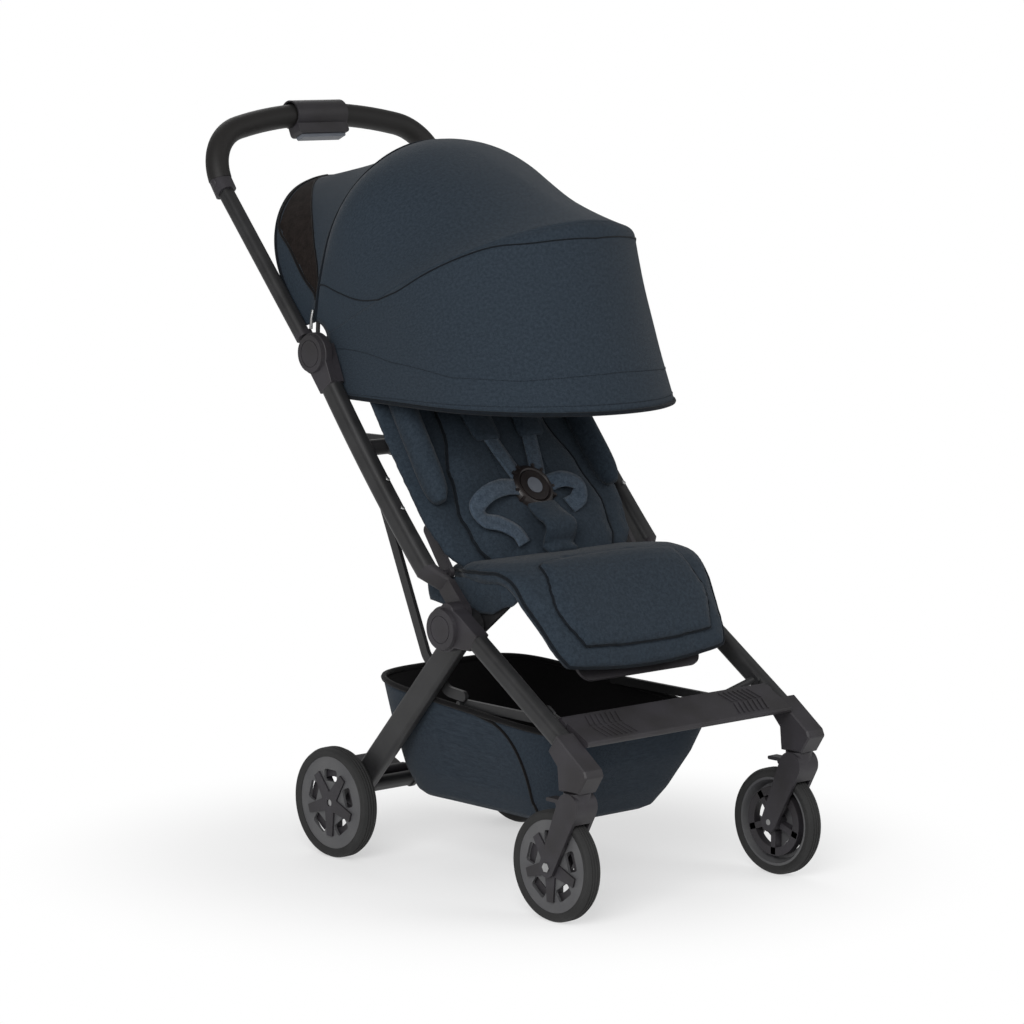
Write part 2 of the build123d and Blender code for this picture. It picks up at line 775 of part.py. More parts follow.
# Handlebar: one padded tube from collar to collar, with round corners and a slight crown
grip_start = from_point(handle_end, handle_angle, collar_length)
grip_turn = math.radians(grip_angle)
grip_plane = Plane(
    origin=(0, grip_start[0], grip_start[1]),
    x_dir=(1, 0, 0),
    z_dir=(0, -math.sin(grip_turn), math.cos(grip_turn)),
)
crown_centre = grip_rise - grip_crown
corner_x = grip_half_width - grip_corner
corner_y = crown_centre + math.sqrt((grip_crown - grip_corner) ** 2 - corner_x**2)
crown_x = corner_x * grip_crown / (grip_crown - grip_corner)
crown_y = crown_centre + (corner_y - crown_centre) * grip_crown / (grip_crown - grip_corner)
corner_turn = (math.atan2(crown_y - corner_y, crown_x - corner_x)) / 2
corner_mid = (corner_x + grip_corner * math.cos(corner_turn), corner_y + grip_corner * math.sin(corner_turn))

with BuildPart() as handlebar:
    with BuildLine(grip_plane):
        Line((-grip_half_width, 0), (-grip_half_width, corner_y))
        ThreePointArc((-grip_half_width, corner_y), (-corner_mid[0], corner_mid[1]), (-crown_x, crown_y))
        ThreePointArc((-crown_x, crown_y), (0, grip_rise), (crown_x, crown_y))
        ThreePointArc((crown_x, crown_y), corner_mid, (grip_half_width, corner_y))
        Line((grip_half_width, corner_y), (grip_half_width, 0))
    with BuildSketch(along(-grip_half_width, grip_start, grip_angle)):
        Circle(grip_radius)
    sweep()
save(handlebar, "handlebar")

# Fold button: a moulded sleeve on the middle of the handlebar, with a squeeze bar in its pocket
sleeve_length = 92.0
sleeve_play = 2.0
sleeve_wall = 2.2
button_length = 80.0
button_depth = 15.0
button_travel = 5.0
button_proud = 5.0
pocket_play = 0.5
pocket_floor = grip_radius + sleeve_play + sleeve_wall + 1.0
pocket_mouth = pocket_floor + button_travel + 6.0

with BuildPart() as sleeve:
    with BuildSketch(grip_plane):
        with Locations((0, grip_rise - pocket_mouth / 2)):
            RectangleRounded(sleeve_length, pocket_mouth, 5)
    extrude(amount=button_depth / 2 + 4, both=True)
    with Locations(Location(grip_plane.from_local_coords((0, grip_rise, 0)), (0, 90, 0))):
        Cylinder(grip_radius + sleeve_play + sleeve_wall, sleeve_length)
        Cylinder(grip_radius + sleeve_play, sleeve_length + 2, mode=Mode.SUBTRACT)
    with BuildSketch(grip_plane):
        with Locations((0, grip_rise - (pocket_mouth + pocket_floor) / 2)):
            Rectangle(button_length + 2 * pocket_play, pocket_mouth - pocket_floor)
    extrude(amount=button_depth / 2 + pocket_play, both=True, mode=Mode.SUBTRACT)
save(sleeve, "fold_button_housing")

button_top = pocket_floor + button_travel + 1.0

with BuildPart() as fold_button:
    with BuildSketch(grip_plane):
        with Locations((0, grip_rise - (button_top + pocket_mouth + button_proud) / 2)):
            RectangleRounded(button_length, pocket_mouth + button_proud - button_top, 3)
    extrude(amount=button_depth / 2, both=True)
save(fold_button, "fold_button")

# Lock struts: a bent flat bar on each side, fixed to the seat tube by a bracket, whose forward hook
# lies over a stud on the basket bar while the stroller is open
strut_hook = (hub_y + 34, hub_z - 103)
strut_top = (hub_y + 237, hub_z + 230)
strut_bend = (hub_y + 66, hub_z - 100)
strut_knee = (hub_y + 110, hub_z - 56)
strut_plane = 148.5
strut_inner = strut_plane - link_thickness / 2
strut_outer = strut_plane + link_thickness / 2
stud_diameter = 8.0
stud_gap = 0.6
stud = (strut_hook[0] + 8, strut_hook[1] - link_depth / 2 - stud_gap - stud_diameter / 2)
bracket_foot = from_point(from_point(tube_foot, tube_heading, 205), tube_heading - 90, seat_tube_depth / 2 - 9)

with BuildPart() as strut:
    with BuildSketch(side(strut_inner)):
        with BuildLine():
            FilletPolyline(strut_hook, strut_bend, strut_knee, strut_top, radius=24)
        trace(line_width=link_depth)
        with Locations(strut_hook):
            Circle(link_depth / 2)
    extrude(amount=link_thickness)
    with BuildSketch(side(strut_inner)):
        with Locations(strut_top):
            Circle(link_depth / 2 + 1)
        with Locations(bracket_foot):
            Circle(13)
        make_hull()
    extrude(amount=link_thickness)
    rod(strut_inner, seat_tube_inner, bracket_foot, 22)
    mirror(about=Plane.YZ)
save(strut, "lock_struts")

# Basket bars: from a foot on each front leg in and back to the stud under the lock strut
basket_bar_plane = 141.5
basket_bar_thickness = 6.0
basket_bar_depth = 12.0
basket_bar_inner = basket_bar_plane - basket_bar_thickness / 2
basket_bar_bend = (hub_y - 158, hub_z - 116)
basket_bar_foot = (hub_y - 182, hub_z - 92)
foot_plate = 4.0
bar_start = Vector(basket_bar_plane, basket_bar_bend[0], basket_bar_bend[1])
bar_end = Vector(knuckle_inner - foot_plate / 2, basket_bar_foot[0], basket_bar_foot[1])

with BuildPart() as basket_bar:
    with BuildSketch(side(basket_bar_inner)):
        with BuildLine():
            Polyline(stud, basket_bar_bend)
        trace(line_width=basket_bar_depth)
        with Locations(stud, basket_bar_bend):
            Circle(basket_bar_depth / 2 + 1)
    extrude(amount=basket_bar_thickness)
    rod(basket_bar_plane, strut_outer, stud, stud_diameter)
    with BuildSketch(Plane(origin=bar_start, z_dir=bar_end - bar_start)):
        Circle(5)
    extrude(amount=(bar_end - bar_start).length)
    with BuildSketch(side(knuckle_inner - foot_plate)):
        with Locations(Location(basket_bar_foot, leg_heading)):
            RectangleRounded(20, 16, 5)
    extrude(amount=foot_plate)
    split(bisect_by=side(knuckle_inner), keep=Keep.BOTTOM)
    mirror(about=Plane.YZ)
save(basket_bar, "basket_bars")

# Footrest: a ribbed board between the two front legs
footrest_back = (hub_y - 199, hub_z - 97)
footrest_heading = 180 + 27
footrest_length = 62.0
footrest_thickness = 9.0
footrest_half = front_track - housing_width / 2 - side_gap
rib_count = 7
rib_pitch = 9.0
rib_height = 1.4
footrest_middle = from_point(footrest_back, footrest_heading, footrest_length / 2)
footrest_plane = along(0, footrest_middle, footrest_heading - 90)

with BuildPart() as footrest:
    with BuildSketch(side(-footrest_half)):
        with Locations(Location(footrest_middle, footrest_heading)):
            RectangleRounded(footrest_length, footrest_thickness, 4)
    extrude(amount=2 * footrest_half)
    with BuildSketch(side(-knuckle_inner)):
        with Locations(Location(from_point(footrest_back, footrest_heading, 11), footrest_heading)):
            RectangleRounded(14, footrest_thickness, 4)
    extrude(amount=2 * knuckle_inner)
    with BuildSketch(footrest_plane.offset(footrest_thickness / 2)):
        for end in (-1, 1):
            for rib in range(rib_count):
                for slant in (-1, 1):
                    with Locations(
                        Location((end * (100 + rib * rib_pitch), slant * footrest_length / 5), slant * end * 20)
                    ):
                        SlotOverall(footrest_length / 2.6, 3, rotation=90)
    extrude(amount=rib_height)
save(footrest, "footrest")

# Storage basket: a deep fabric sling under the basket bars, narrow at its floor and wide at its rim
cloth = 3.0
basket_corner = 22.0
basket_hang = 0.5
rim_half = 145.0
rim_front = hub_y - 172
rim_back = hub_y + 236
rim_fall = 27.5
shoulder_z = 185.0
shoulder_half_width = 138.0
shoulder_front = hub_y - 156
shoulder_back = hub_y + 232
belly_z = 130.0
belly_half = 120.0
belly_front = hub_y - 124
belly_back = hub_y + 226
basket_floor = 92.0
floor_half = 94.0
floor_front = hub_y - 92
floor_back = hub_y + 206
rim_tilt = math.atan2(rim_fall, rim_back - rim_front)
rim_middle = (rim_front + rim_back) / 2
rim_z = stud[1] - basket_bar_depth / 2 - 1 - basket_hang + (rim_middle - stud[0]) * math.tan(rim_tilt)


def basket_section(level, half, front, back, tilt, inset):
    """Rounded rectangle of the basket at one height."""
    plane = Plane(
        origin=(0, (front + back) / 2, level),
        x_dir=(1, 0, 0),
        z_dir=(0, -math.sin(tilt), math.cos(tilt)),
    )
    with BuildSketch(plane) as section:
        RectangleRounded(
            2 * (half - inset), (back - front) / math.cos(tilt) - 2 * inset, basket_corner - inset
        )
    return section.sketch.faces()[0]


with BuildPart() as basket:
    for inset, mode in ((0, Mode.ADD), (cloth, Mode.SUBTRACT)):
        loft(
            [
                basket_section(basket_floor + inset, floor_half, floor_front, floor_back, 0, inset),
                basket_section(belly_z, belly_half, belly_front, belly_back, rim_tilt / 3, inset),
                basket_section(
                    shoulder_z, shoulder_half_width, shoulder_front, shoulder_back, 2 * rim_tilt / 3, inset
                ),
                basket_section(rim_z, rim_half, rim_front, rim_back, rim_tilt, inset),
            ],
            mode=mode,
        )
save(basket, "storage_basket")


def arch(plane, half, foot, rise, side_radius, crown_radius):
    """Face of an arch: straight sides from foot, two side arcs and one crown arc that meet tangent."""
    crown_middle = rise - crown_radius
    reach = math.sqrt((crown_radius - side_radius) ** 2 - (half - side_radius) ** 2)
    turn = 1 if crown_radius > side_radius else -1
    spring = crown_middle + turn * reach
    bearing = math.atan2(turn * (spring - crown_middle), turn * (half - side_radius))
    meet_x = crown_radius * math.cos(bearing)
    meet_y = crown_middle + crown_radius * math.sin(bearing)
    mid_x = half - side_radius + side_radius * math.cos(bearing / 2)
    mid_y = spring + side_radius * math.sin(bearing / 2)
    with BuildSketch(plane) as face:
        with BuildLine():
            Line((half, foot), (half, spring))
            ThreePointArc((half, spring), (mid_x, mid_y), (meet_x, meet_y))
            ThreePointArc((meet_x, meet_y), (0, rise), (-meet_x, meet_y))
            ThreePointArc((-meet_x, meet_y), (-mid_x, mid_y), (-half, spring))
            Line((-half, spring), (-half, foot))
            Line((-half, foot), (half, foot))
        make_face()
    return face.sketch.faces()[0]


# Canopy: three fabric panels over two bows that turn on one pin at each hinge
canopy_clear = 3.0
canopy_half = handle_inner - canopy_clear
canopy_foot = 30.0
rear_angle = handle_angle
mid_angle = 93.0
crest_angle = 123.5
front_angle = 154.0
hem_drop = 68.0
hem_angle = 178.7
rear_rise = 290.0
rear_side = 240.0
rear_crown = 165.0
mid_rise = 267.0
mid_side = 258.0
mid_crown = 155.0
crest_rise = 306.0
crest_side = 220.0
crest_crown = 170.0
front_rise = 395.0
front_side = 230.0
front_crown = 165.0
hem_rise = 474.0
hem_side = 420.0
hem_crown = 125.0
panel_dip = 5.0


def canopy_plane(angle, drop=0):
    """Plane through the canopy's axis, or below it by drop: local x across, local y away at an angle."""
    turn = math.radians(angle)
    return Plane(
        origin=(0, canopy_pivot[0], canopy_pivot[1] - drop),
        x_dir=(1, 0, 0),
        z_dir=(0, -math.sin(turn), math.cos(turn)),
    )


def canopy_arch(angle, rise, side_radius, crown_radius, inset, drop=0):
    """Canopy section at an angle around its axis, inset from the outer cloth."""
    return arch(
        canopy_plane(angle, drop),
        canopy_half - inset,
        canopy_foot - 2 * inset,
        rise - inset,
        side_radius - inset,
        crown_radius - inset,
    )


def middle(first, second):
    return (first + second) / 2


with BuildPart() as rear_panel:
    for inset, start, mode in ((0, rear_angle, Mode.ADD), (cloth, rear_angle + 0.8, Mode.SUBTRACT)):
        loft(
            [
                canopy_arch(start, rear_rise, rear_side, rear_crown, inset),
                canopy_arch(
                    middle(rear_angle, mid_angle),
                    middle(rear_rise, mid_rise) - panel_dip,
                    middle(rear_side, mid_side),
                    middle(rear_crown, mid_crown),
                    inset,
                ),
                canopy_arch(mid_angle, mid_rise, mid_side, mid_crown, inset),
            ],
            mode=mode,
        )
save(rear_panel, "canopy_rear_panel")

with BuildPart() as mid_panel:
    for inset, mode in ((0, Mode.ADD), (cloth, Mode.SUBTRACT)):
        loft(
            [
                canopy_arch(mid_angle, mid_rise, mid_side, mid_crown, inset),
                canopy_arch(crest_angle, crest_rise, crest_side, crest_crown, inset),
                canopy_arch(front_angle, front_rise, front_side, front_crown, inset),
            ],
            mode=mode,
        )
save(mid_panel, "canopy_mid_panel")

with BuildPart() as front_panel:
    for inset, mode in ((0, Mode.ADD), (cloth, Mode.SUBTRACT)):
        loft(
            [
                canopy_arch(front_angle, front_rise, front_side, front_crown, inset),
                canopy_arch(hem_angle, hem_rise, hem_side, hem_crown, inset, hem_drop),
            ],
            mode=mode,
        )
save(front_panel, "canopy_front_panel")

# Canopy bows: a round rod along each arch, just inside the cloth, with a boss on the canopy pin
bow_diameter = 6.0
bow_boss_radius = 8.0
bow_bore = canopy_pin_diameter + 2 * shaft_play
bow_play = 0.3
bow_drop = 3.0


def bow(name, angle, boss_outer, rise, side_radius, crown_radius):
    half = min(boss_outer - bow_boss_width / 2, canopy_half - cloth - bow_play - bow_diameter / 2)
    inset = canopy_half - half
    shape = arch(
        canopy_plane(angle),
        half,
        0,
        rise - cloth - bow_drop - bow_diameter / 2,
        side_radius - inset,
        crown_radius - inset,
    )
    foot_edge = shape.edges().sort_by(lambda edge: abs(canopy_plane(angle).to_local_coords(edge.center()).Y))[0]
    path = Wire([edge for edge in shape.edges() if edge != foot_edge])
    with BuildPart() as rod_piece:
        with BuildSketch(Plane(origin=path @ 0, z_dir=path % 0)) as section:
            Circle(bow_diameter / 2)
        sweep(section.sketch, path=path)
        for sign in (-1, 1):
            start = boss_outer - bow_boss_width if sign > 0 else -boss_outer
            rod(start, start + bow_boss_width, canopy_pivot, 2 * bow_boss_radius)
            rod(start - 6, start + bow_boss_width + 6, canopy_pivot, bow_bore, Mode.SUBTRACT)
    save(rod_piece, name)


bow("canopy_mid_bow", mid_angle, mid_bow_outer, mid_rise, mid_side, mid_crown)
bow("canopy_front_bow", front_angle, front_bow_outer, front_rise - 3, front_side, front_crown)

# Seat base: two side plates on the hub pins, a cross rod at each end and a pan between them
base_front = (hub_y - 76, hub_z + 52)
base_back = (hub_y + 60, hub_z + 36)
base_rod_diameter = 12.0
pan_thickness = 4.0
pan_angle = math.degrees(math.atan2(base_front[1] - base_back[1], base_front[0] - base_back[0]))

with BuildPart() as seat_base:
    with BuildSketch(side(seat_lug_inner)):
        with Locations(hub):
            Circle(15)
        with Locations(base_front, base_back):
            Circle(9)
        make_hull()
        with Locations(hub):
            Circle(hub_pin_diameter / 2 + shaft_play, mode=Mode.SUBTRACT)
        with Locations(from_point(hub, 98, 29)):
            Circle(11, mode=Mode.SUBTRACT)
    extrude(amount=seat_plate_thickness)
    rod(seat_lug_inner, seat_lug_outer, hub, 30)
    rod(seat_lug_inner, seat_lug_outer, hub, hub_pin_diameter + 2 * shaft_play, Mode.SUBTRACT)
    mirror(about=Plane.YZ)
    rod(-seat_lug_inner, seat_lug_inner, base_front, base_rod_diameter)
    rod(-seat_lug_inner, seat_lug_inner, base_back, base_rod_diameter)
    with BuildSketch(side(-seat_lug_inner)):
        with BuildLine():
            Polyline(base_back, from_point(base_front, pan_angle + 180, 14))
        trace(line_width=pan_thickness)
    extrude(amount=2 * seat_lug_inner)
save(seat_base, "seat_base")

# Seat pad: a quilted cushion on the pan with a crowned top, rolled edges and cross channels
seat_pad_front_half = 178.0
seat_pad_back_half = 152.0
seat_pad_corner = 24.0
seat_channel = 62.0
seat_pad_thickness = 32.0
seat_pad_crown = 7.0
seat_pad_back = from_point(from_point(base_back, pan_angle + 180, 26), pan_angle - 90, 9.3)
seat_pad_front = from_point(from_point(base_front, pan_angle + 180, 14), pan_angle - 90, 9.3)
channel_radius = 4.0


def cushion_outline(plane, halves, start, end, corners):
    """Four-sided outline with round corners: halves and corners are given at start and at end."""
    with BuildSketch(plane) as outline:
        Polygon(
            (-halves[0], start), (halves[0], start), (halves[1], end), (-halves[1], end), align=None
        )
        for level, corner in zip((start, end), corners):
            across = [v for v in outline.vertices() if abs(plane.to_local_coords(v).Y - level) < 0.01]
            fillet(across, corner)
    return outline.sketch.faces()[0]


def cushion(plane, halves, start, end, thickness, crown, corners):
    """Solid of a cushion: a rounded pad that swells by crown in its middle, with soft edges."""
    edge = thickness - crown
    with BuildPart(mode=Mode.PRIVATE) as body:
        extrude(cushion_outline(plane, halves, start, end, corners), amount=edge)
        fillet(body.faces().sort_by(Axis(plane.origin, plane.z_dir))[-1].edges(), edge / 2.2)
        loft(
            [
                cushion_outline(
                    plane.offset(level), [half - shrink for half in halves], start + shrink, end - shrink, corners
                )
                for level, shrink in ((edge / 2, cushion_roll), (thickness, cushion_slope))
            ]
        )
    return body.part


cushion_roll = 13.0
cushion_slope = 40.0
seat_pad_length = math.dist(seat_pad_back, seat_pad_front)
seat_pad_plane = Plane(
    origin=(0, seat_pad_back[0], seat_pad_back[1]),
    x_dir=(-1, 0, 0),
    z_dir=(0, math.sin(math.radians(pan_angle)), -math.cos(math.radians(pan_angle))),
)
with BuildPart() as seat_pad:
    add(
        cushion(
            seat_pad_plane,
            (seat_pad_back_half, seat_pad_front_half),
            0,
            seat_pad_length,
            seat_pad_thickness,
            seat_pad_crown,
            (seat_pad_corner, seat_pad_corner),
        )
    )
    for x in (-seat_channel, seat_channel):
        with BuildSketch(seat_pad_plane.offset(seat_pad_thickness + 1)):
            with Locations((x, seat_pad_length / 2)):
                RectangleRounded(2 * channel_radius, seat_pad_length - 60, channel_radius - 0.1)
        extrude(amount=-5, taper=20, mode=Mode.SUBTRACT)
save(seat_pad, "seat_pad")

# Calf rest: a board that turns on the seat base's front rod, and its piped pad
calf_heading = 235.0
calf_length = 143.0
calf_top_half = 178.0
calf_end_half = 150.0
calf_top_corner = 16.0
calf_end_corner = 46.0
calf_board_half = 112.0
calf_eye_outer = 100.0
calf_eye_width = 40.0
calf_overlap = 12.0
panel_margin = 31.0
panel_groove = 5.0
calf_board_thickness = 4.0
calf_pad_thickness = 27.0
calf_pad_crown = 6.0
calf_turn = math.radians(calf_heading)
calf_plane = Plane(
    origin=(0, base_front[0], base_front[1]),
    x_dir=(-1, 0, 0),
    z_dir=(0, math.sin(calf_turn), -math.cos(calf_turn)),
)
calf_eye_radius = base_rod_diameter / 2 + 3.5

with BuildPart() as calf_board:
    with BuildSketch(calf_plane.offset(2)):
        with Locations((0, (calf_length + 12) / 2)):
            RectangleRounded(2 * calf_board_half, calf_length - 12, 20)
    extrude(amount=calf_board_thickness)
    for x in (-calf_eye_outer, calf_eye_outer - calf_eye_width):
        with BuildSketch(side(x)):
            with Locations(base_front):
                Circle(calf_eye_radius)
            with BuildLine():
                Polyline(
                    base_front,
                    from_point(base_front, calf_heading - 90, 6),
                    from_point(from_point(base_front, calf_heading, 30), calf_heading - 90, 6),
                    from_point(from_point(base_front, calf_heading, 30), calf_heading - 90, 2),
                    from_point(from_point(base_front, calf_heading, 8), calf_heading + 90, 4),
                    close=True,
                )
            make_face()
        extrude(amount=calf_eye_width)
    rod(-calf_eye_outer, calf_eye_outer, base_front, base_rod_diameter + 2 * shaft_play, Mode.SUBTRACT)
save(calf_board, "calf_board")

calf_pad_plane = calf_plane.offset(calf_eye_radius + 0.6)
with BuildPart() as calf_pad:
    add(
        cushion(
            calf_pad_plane,
            (calf_top_half, calf_end_half),
            -calf_overlap,
            calf_length,
            calf_pad_thickness,
            calf_pad_crown,
            (calf_top_corner, calf_end_corner),
        )
    )
    panel_plane = calf_pad_plane.offset(calf_pad_thickness - calf_pad_crown + 2)
    panel_rings = [
        cushion_outline(
            panel_plane,
            (calf_top_half - margin, calf_end_half - margin),
            margin - calf_overlap,
            calf_length - margin,
            (calf_top_corner, calf_end_corner - panel_margin / 2),
        )
        for margin in (panel_margin, panel_margin + channel_radius)
    ]
    extrude(panel_rings[0] - panel_rings[1], amount=-panel_groove, mode=Mode.SUBTRACT)
save(calf_pad, "calf_pad")

# Backrest: a board on two ears at the connectors' pins, and its padded liner with side wings
back_angle = 54.0
back_length = 312.0
back_half = 138.0
back_thickness = 4.0
back_turn = math.radians(back_angle)
back_plane = Plane(
    origin=(0, recline_pivot[0], recline_pivot[1]),
    x_dir=(1, 0, 0),
    z_dir=(0, -math.sin(back_turn), math.cos(back_turn)),
)
ear_outer = recline_ear_inner + recline_ear_thickness
ear_reach = 66.0
back_foot = 48.0

with BuildPart() as back_board:
    with BuildSketch(back_plane.offset(-back_thickness / 2)):
        with Locations((0, (back_foot + back_length) / 2)):
            RectangleRounded(2 * back_half, back_length - back_foot, 24)
        with Locations((0, ear_reach - 4)):
            RectangleRounded(2 * ear_outer, 24, 4)
    extrude(amount=back_thickness)
    for start in (recline_ear_inner, -ear_outer):
        with BuildSketch(side(start)):
            with Locations(recline_pivot):
                Circle(9)
            with Locations(from_point(recline_pivot, back_angle, ear_reach)):
                Circle(8)
            make_hull()
            with Locations(recline_pivot):
                Circle(recline_pin_diameter / 2 + shaft_play, mode=Mode.SUBTRACT)
        extrude(amount=recline_ear_thickness)
save(back_board, "backrest_board")

back_pad_thickness = 30.0
back_pad_crown = 7.0
back_pad_half = 146.0
back_pad_start = 19.0
back_pad_corner = 34.0
back_channel = 48.0
back_channel_length = 190.0
back_channel_middle = 170.0
wing_width = 24.0
wing_rise = 34.0
wing_length = 200.0
wing_middle = 190.0
flap_half = 186.0
flap_rise = 12.0
flap_start = 84.0
flap_corner = 12.0
back_pad_plane = back_plane.offset(back_thickness / 2 + 0.6)

with BuildPart() as back_pad:
    add(
        cushion(
            back_pad_plane,
            (back_pad_half, back_pad_half),
            back_pad_start,
            back_length - back_thickness,
            back_pad_thickness,
            back_pad_crown,
            (back_pad_corner, back_pad_corner),
        )
    )
    for sign in (-1, 1):
        with BuildSketch(back_pad_plane):
            with Locations((sign * (back_pad_half - wing_width / 2), wing_middle)):
                RectangleRounded(wing_width, wing_length, 11)
        extrude(amount=back_pad_thickness + wing_rise, taper=5)
    with BuildSketch(back_pad_plane.offset(flap_rise)):
        with Locations((0, (flap_start + back_length) / 2)):
            RectangleRounded(2 * flap_half, back_length - flap_start, flap_corner)
    extrude(amount=cloth)
    for x in (-back_channel, back_channel):
        with BuildSketch(back_pad_plane.offset(back_pad_thickness + 1)):
            with Locations((x, back_channel_middle)):
                RectangleRounded(2 * channel_radius, back_channel_length, channel_radius - 0.1)
        extrude(amount=-5, taper=20, mode=Mode.SUBTRACT)
save(back_pad, "backrest_pad")

# Harness: shoulder, waist and crotch straps that meet at a round buckle with a push button
strap_width = 26.0
strap_thickness = 2.0
strap_plane = back_pad_plane.offset(back_pad_thickness + 0.3)
buckle_rise = 92.0
buckle_radius = 25.0
buckle_thickness = 13.0
shoulder_half = 52.0
shoulder_top = 262.0
waist_half = 118.0
waist_rise = 46.0
strap_gap = 4.0


def strap(start, end, width):
    """Flat strap between two points of the current sketch."""
    length = math.dist(start, end)
    turn = math.degrees(math.atan2(end[1] - start[1], end[0] - start[0]))
    centre = ((start[0] + end[0]) / 2, (start[1] + end[1]) / 2)
    with Locations(Location(centre, turn)):
        RectangleRounded(length, width, 4)


with BuildPart() as straps:
    with BuildSketch(strap_plane):
        for sign in (-1, 1):
            strap((sign * 22, buckle_rise + 16), (sign * shoulder_half, shoulder_top), strap_width)
            strap((sign * 22, buckle_rise - 6), (sign * waist_half, waist_rise), strap_width)
        strap((0, buckle_rise - 10), (0, 40), strap_width + 4)
        with Locations((0, buckle_rise)):
            Circle(buckle_radius + 4)
    extrude(amount=strap_thickness)
save(straps, "harness_straps")

with BuildPart() as buckle:
    with BuildSketch(strap_plane.offset(strap_thickness + 0.3)):
        with Locations((0, buckle_rise)):
            Circle(buckle_radius)
    extrude(amount=buckle_thickness, taper=8)
    with BuildSketch(strap_plane.offset(strap_thickness + 0.3 + buckle_thickness)):
        with Locations((0, buckle_rise)):
            Circle(12.3)
    extrude(amount=-9, mode=Mode.SUBTRACT)
save(buckle, "harness_buckle")

with BuildPart() as buckle_button:
    with BuildSketch(strap_plane.offset(strap_thickness + 0.3 + buckle_thickness - 5)):
        with Locations((0, buckle_rise)):
            Circle(12)
    extrude(amount=6)
save(buckle_button, "buckle_button")
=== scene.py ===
# %% [markdown]
# # A folding stroller, dressed in Blender
# The moving frame comes from the imported CAD part, and everything soft is made here: the canopy, the seat
# liner, the harness and the basket. The CAD parts are loaded first, because every piece takes its place
# from them.

# %% Load the frame
import json
import math

import bmesh
import bpy
from mathutils import Matrix, Vector, noise
from mathutils.bvhtree import BVHTree


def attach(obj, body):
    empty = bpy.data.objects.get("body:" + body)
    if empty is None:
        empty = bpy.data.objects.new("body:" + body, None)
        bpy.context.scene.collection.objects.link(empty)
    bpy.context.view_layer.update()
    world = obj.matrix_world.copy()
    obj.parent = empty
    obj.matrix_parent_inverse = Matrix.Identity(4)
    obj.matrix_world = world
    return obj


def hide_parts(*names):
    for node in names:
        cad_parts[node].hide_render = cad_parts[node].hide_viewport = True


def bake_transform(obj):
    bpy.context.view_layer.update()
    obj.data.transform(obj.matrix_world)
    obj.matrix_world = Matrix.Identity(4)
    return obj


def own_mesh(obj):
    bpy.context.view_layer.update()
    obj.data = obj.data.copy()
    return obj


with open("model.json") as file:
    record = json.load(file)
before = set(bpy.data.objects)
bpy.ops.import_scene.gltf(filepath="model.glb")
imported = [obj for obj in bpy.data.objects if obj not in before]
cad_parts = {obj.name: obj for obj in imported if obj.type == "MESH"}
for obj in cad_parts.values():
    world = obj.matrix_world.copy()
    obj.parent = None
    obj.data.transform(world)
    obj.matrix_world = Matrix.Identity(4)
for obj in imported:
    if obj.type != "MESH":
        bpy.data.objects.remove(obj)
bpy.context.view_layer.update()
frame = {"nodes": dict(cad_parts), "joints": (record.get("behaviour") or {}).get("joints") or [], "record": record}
nodes = frame["nodes"]
joint_points = {joint["name"]: Vector(joint["pos_m"]) for joint in frame["joints"] if "pos_m" in joint}

# %% [markdown]
# ## Camera
# The stroller is seen from its front right, almost level, through a long lens. A camera could be placed by
# eye, but then its place, its direction and its lens would be three separate guesses. This one was found by
# matching the wheels, the hubs and the hinges to where the picture shows them, so its values belong
# together.

# %% Camera
CAMERA_AT = Vector((-3.5199, -3.9025, 1.1786))
CAMERA_ALONG = Vector((0.6667, 0.7338, -0.1307))
CAMERA_LENS = 134.26
SENSOR = 36.0

scene = bpy.context.scene
scene.view_settings.view_transform = "Standard"


def add_object(name, data):
    """A new object at the origin."""
    obj = bpy.data.objects.new(name, data)
    scene.collection.objects.link(obj)
    return obj


camera_data = bpy.data.cameras.new("camera")
camera_data.lens = CAMERA_LENS
camera_data.sensor_width = SENSOR
camera = add_object("camera", camera_data)
camera.location = CAMERA_AT
camera.rotation_euler = CAMERA_ALONG.to_track_quat("-Z", "Y").to_euler()
scene.camera = camera
print("camera:", CAMERA_LENS, "mm lens,", round(CAMERA_AT.length, 2), "m away")

# %% [markdown]
# ## Node helpers
# The light, the floor and the finishes are all trees of shader nodes. Each node could be made, set and
# linked line by line. A few small helpers do that instead, because a tree is easier to follow when a node
# and what it is fed stand on one line.

# %% Node helpers
def feed(tree, socket, value):
    """Links an output to a socket, or sets the value of the socket itself."""
    if isinstance(value, bpy.types.NodeSocket):
        tree.links.new(value, socket)
    else:
        socket.default_value = value


def put(tree, kind, **inputs):
    """A node with some of its inputs fed; _ stands for a space in the name of an input."""
    node = tree.nodes.new(kind)
    for label, value in inputs.items():
        feed(tree, node.inputs[label.replace("_", " ")], value)
    return node


def calc(tree, operation, first, second=0.0):
    """The result of a Math node."""
    node = tree.nodes.new("ShaderNodeMath")
    node.operation = operation
    feed(tree, node.inputs[0], first)
    feed(tree, node.inputs[1], second)
    return node.outputs[0]


def end_in_mix(tree, output_kind, factor, first, second):
    """Ends a tree in a mix of two shaders."""
    mix = put(tree, "ShaderNodeMixShader", Fac=factor)
    tree.links.new(first.outputs[0], mix.inputs[1])
    tree.links.new(second.outputs[0], mix.inputs[2])
    tree.links.new(mix.outputs[0], tree.nodes.new(output_kind).inputs["Surface"])


print("node helpers: feed, put, calc and end_in_mix")

# %% [markdown]
# ## Studio light
# A white sweep is lit by a large lamp on the camera's left, a weaker one on its right, one from behind and
# the world. More light could make the background white, but it would bleach the cloth. So the world has two
# strengths: a low one that lights the stroller, and plain white where the camera looks at it.

# %% World
AMBIENT = 0.40
WHITE = (1, 1, 1, 1)

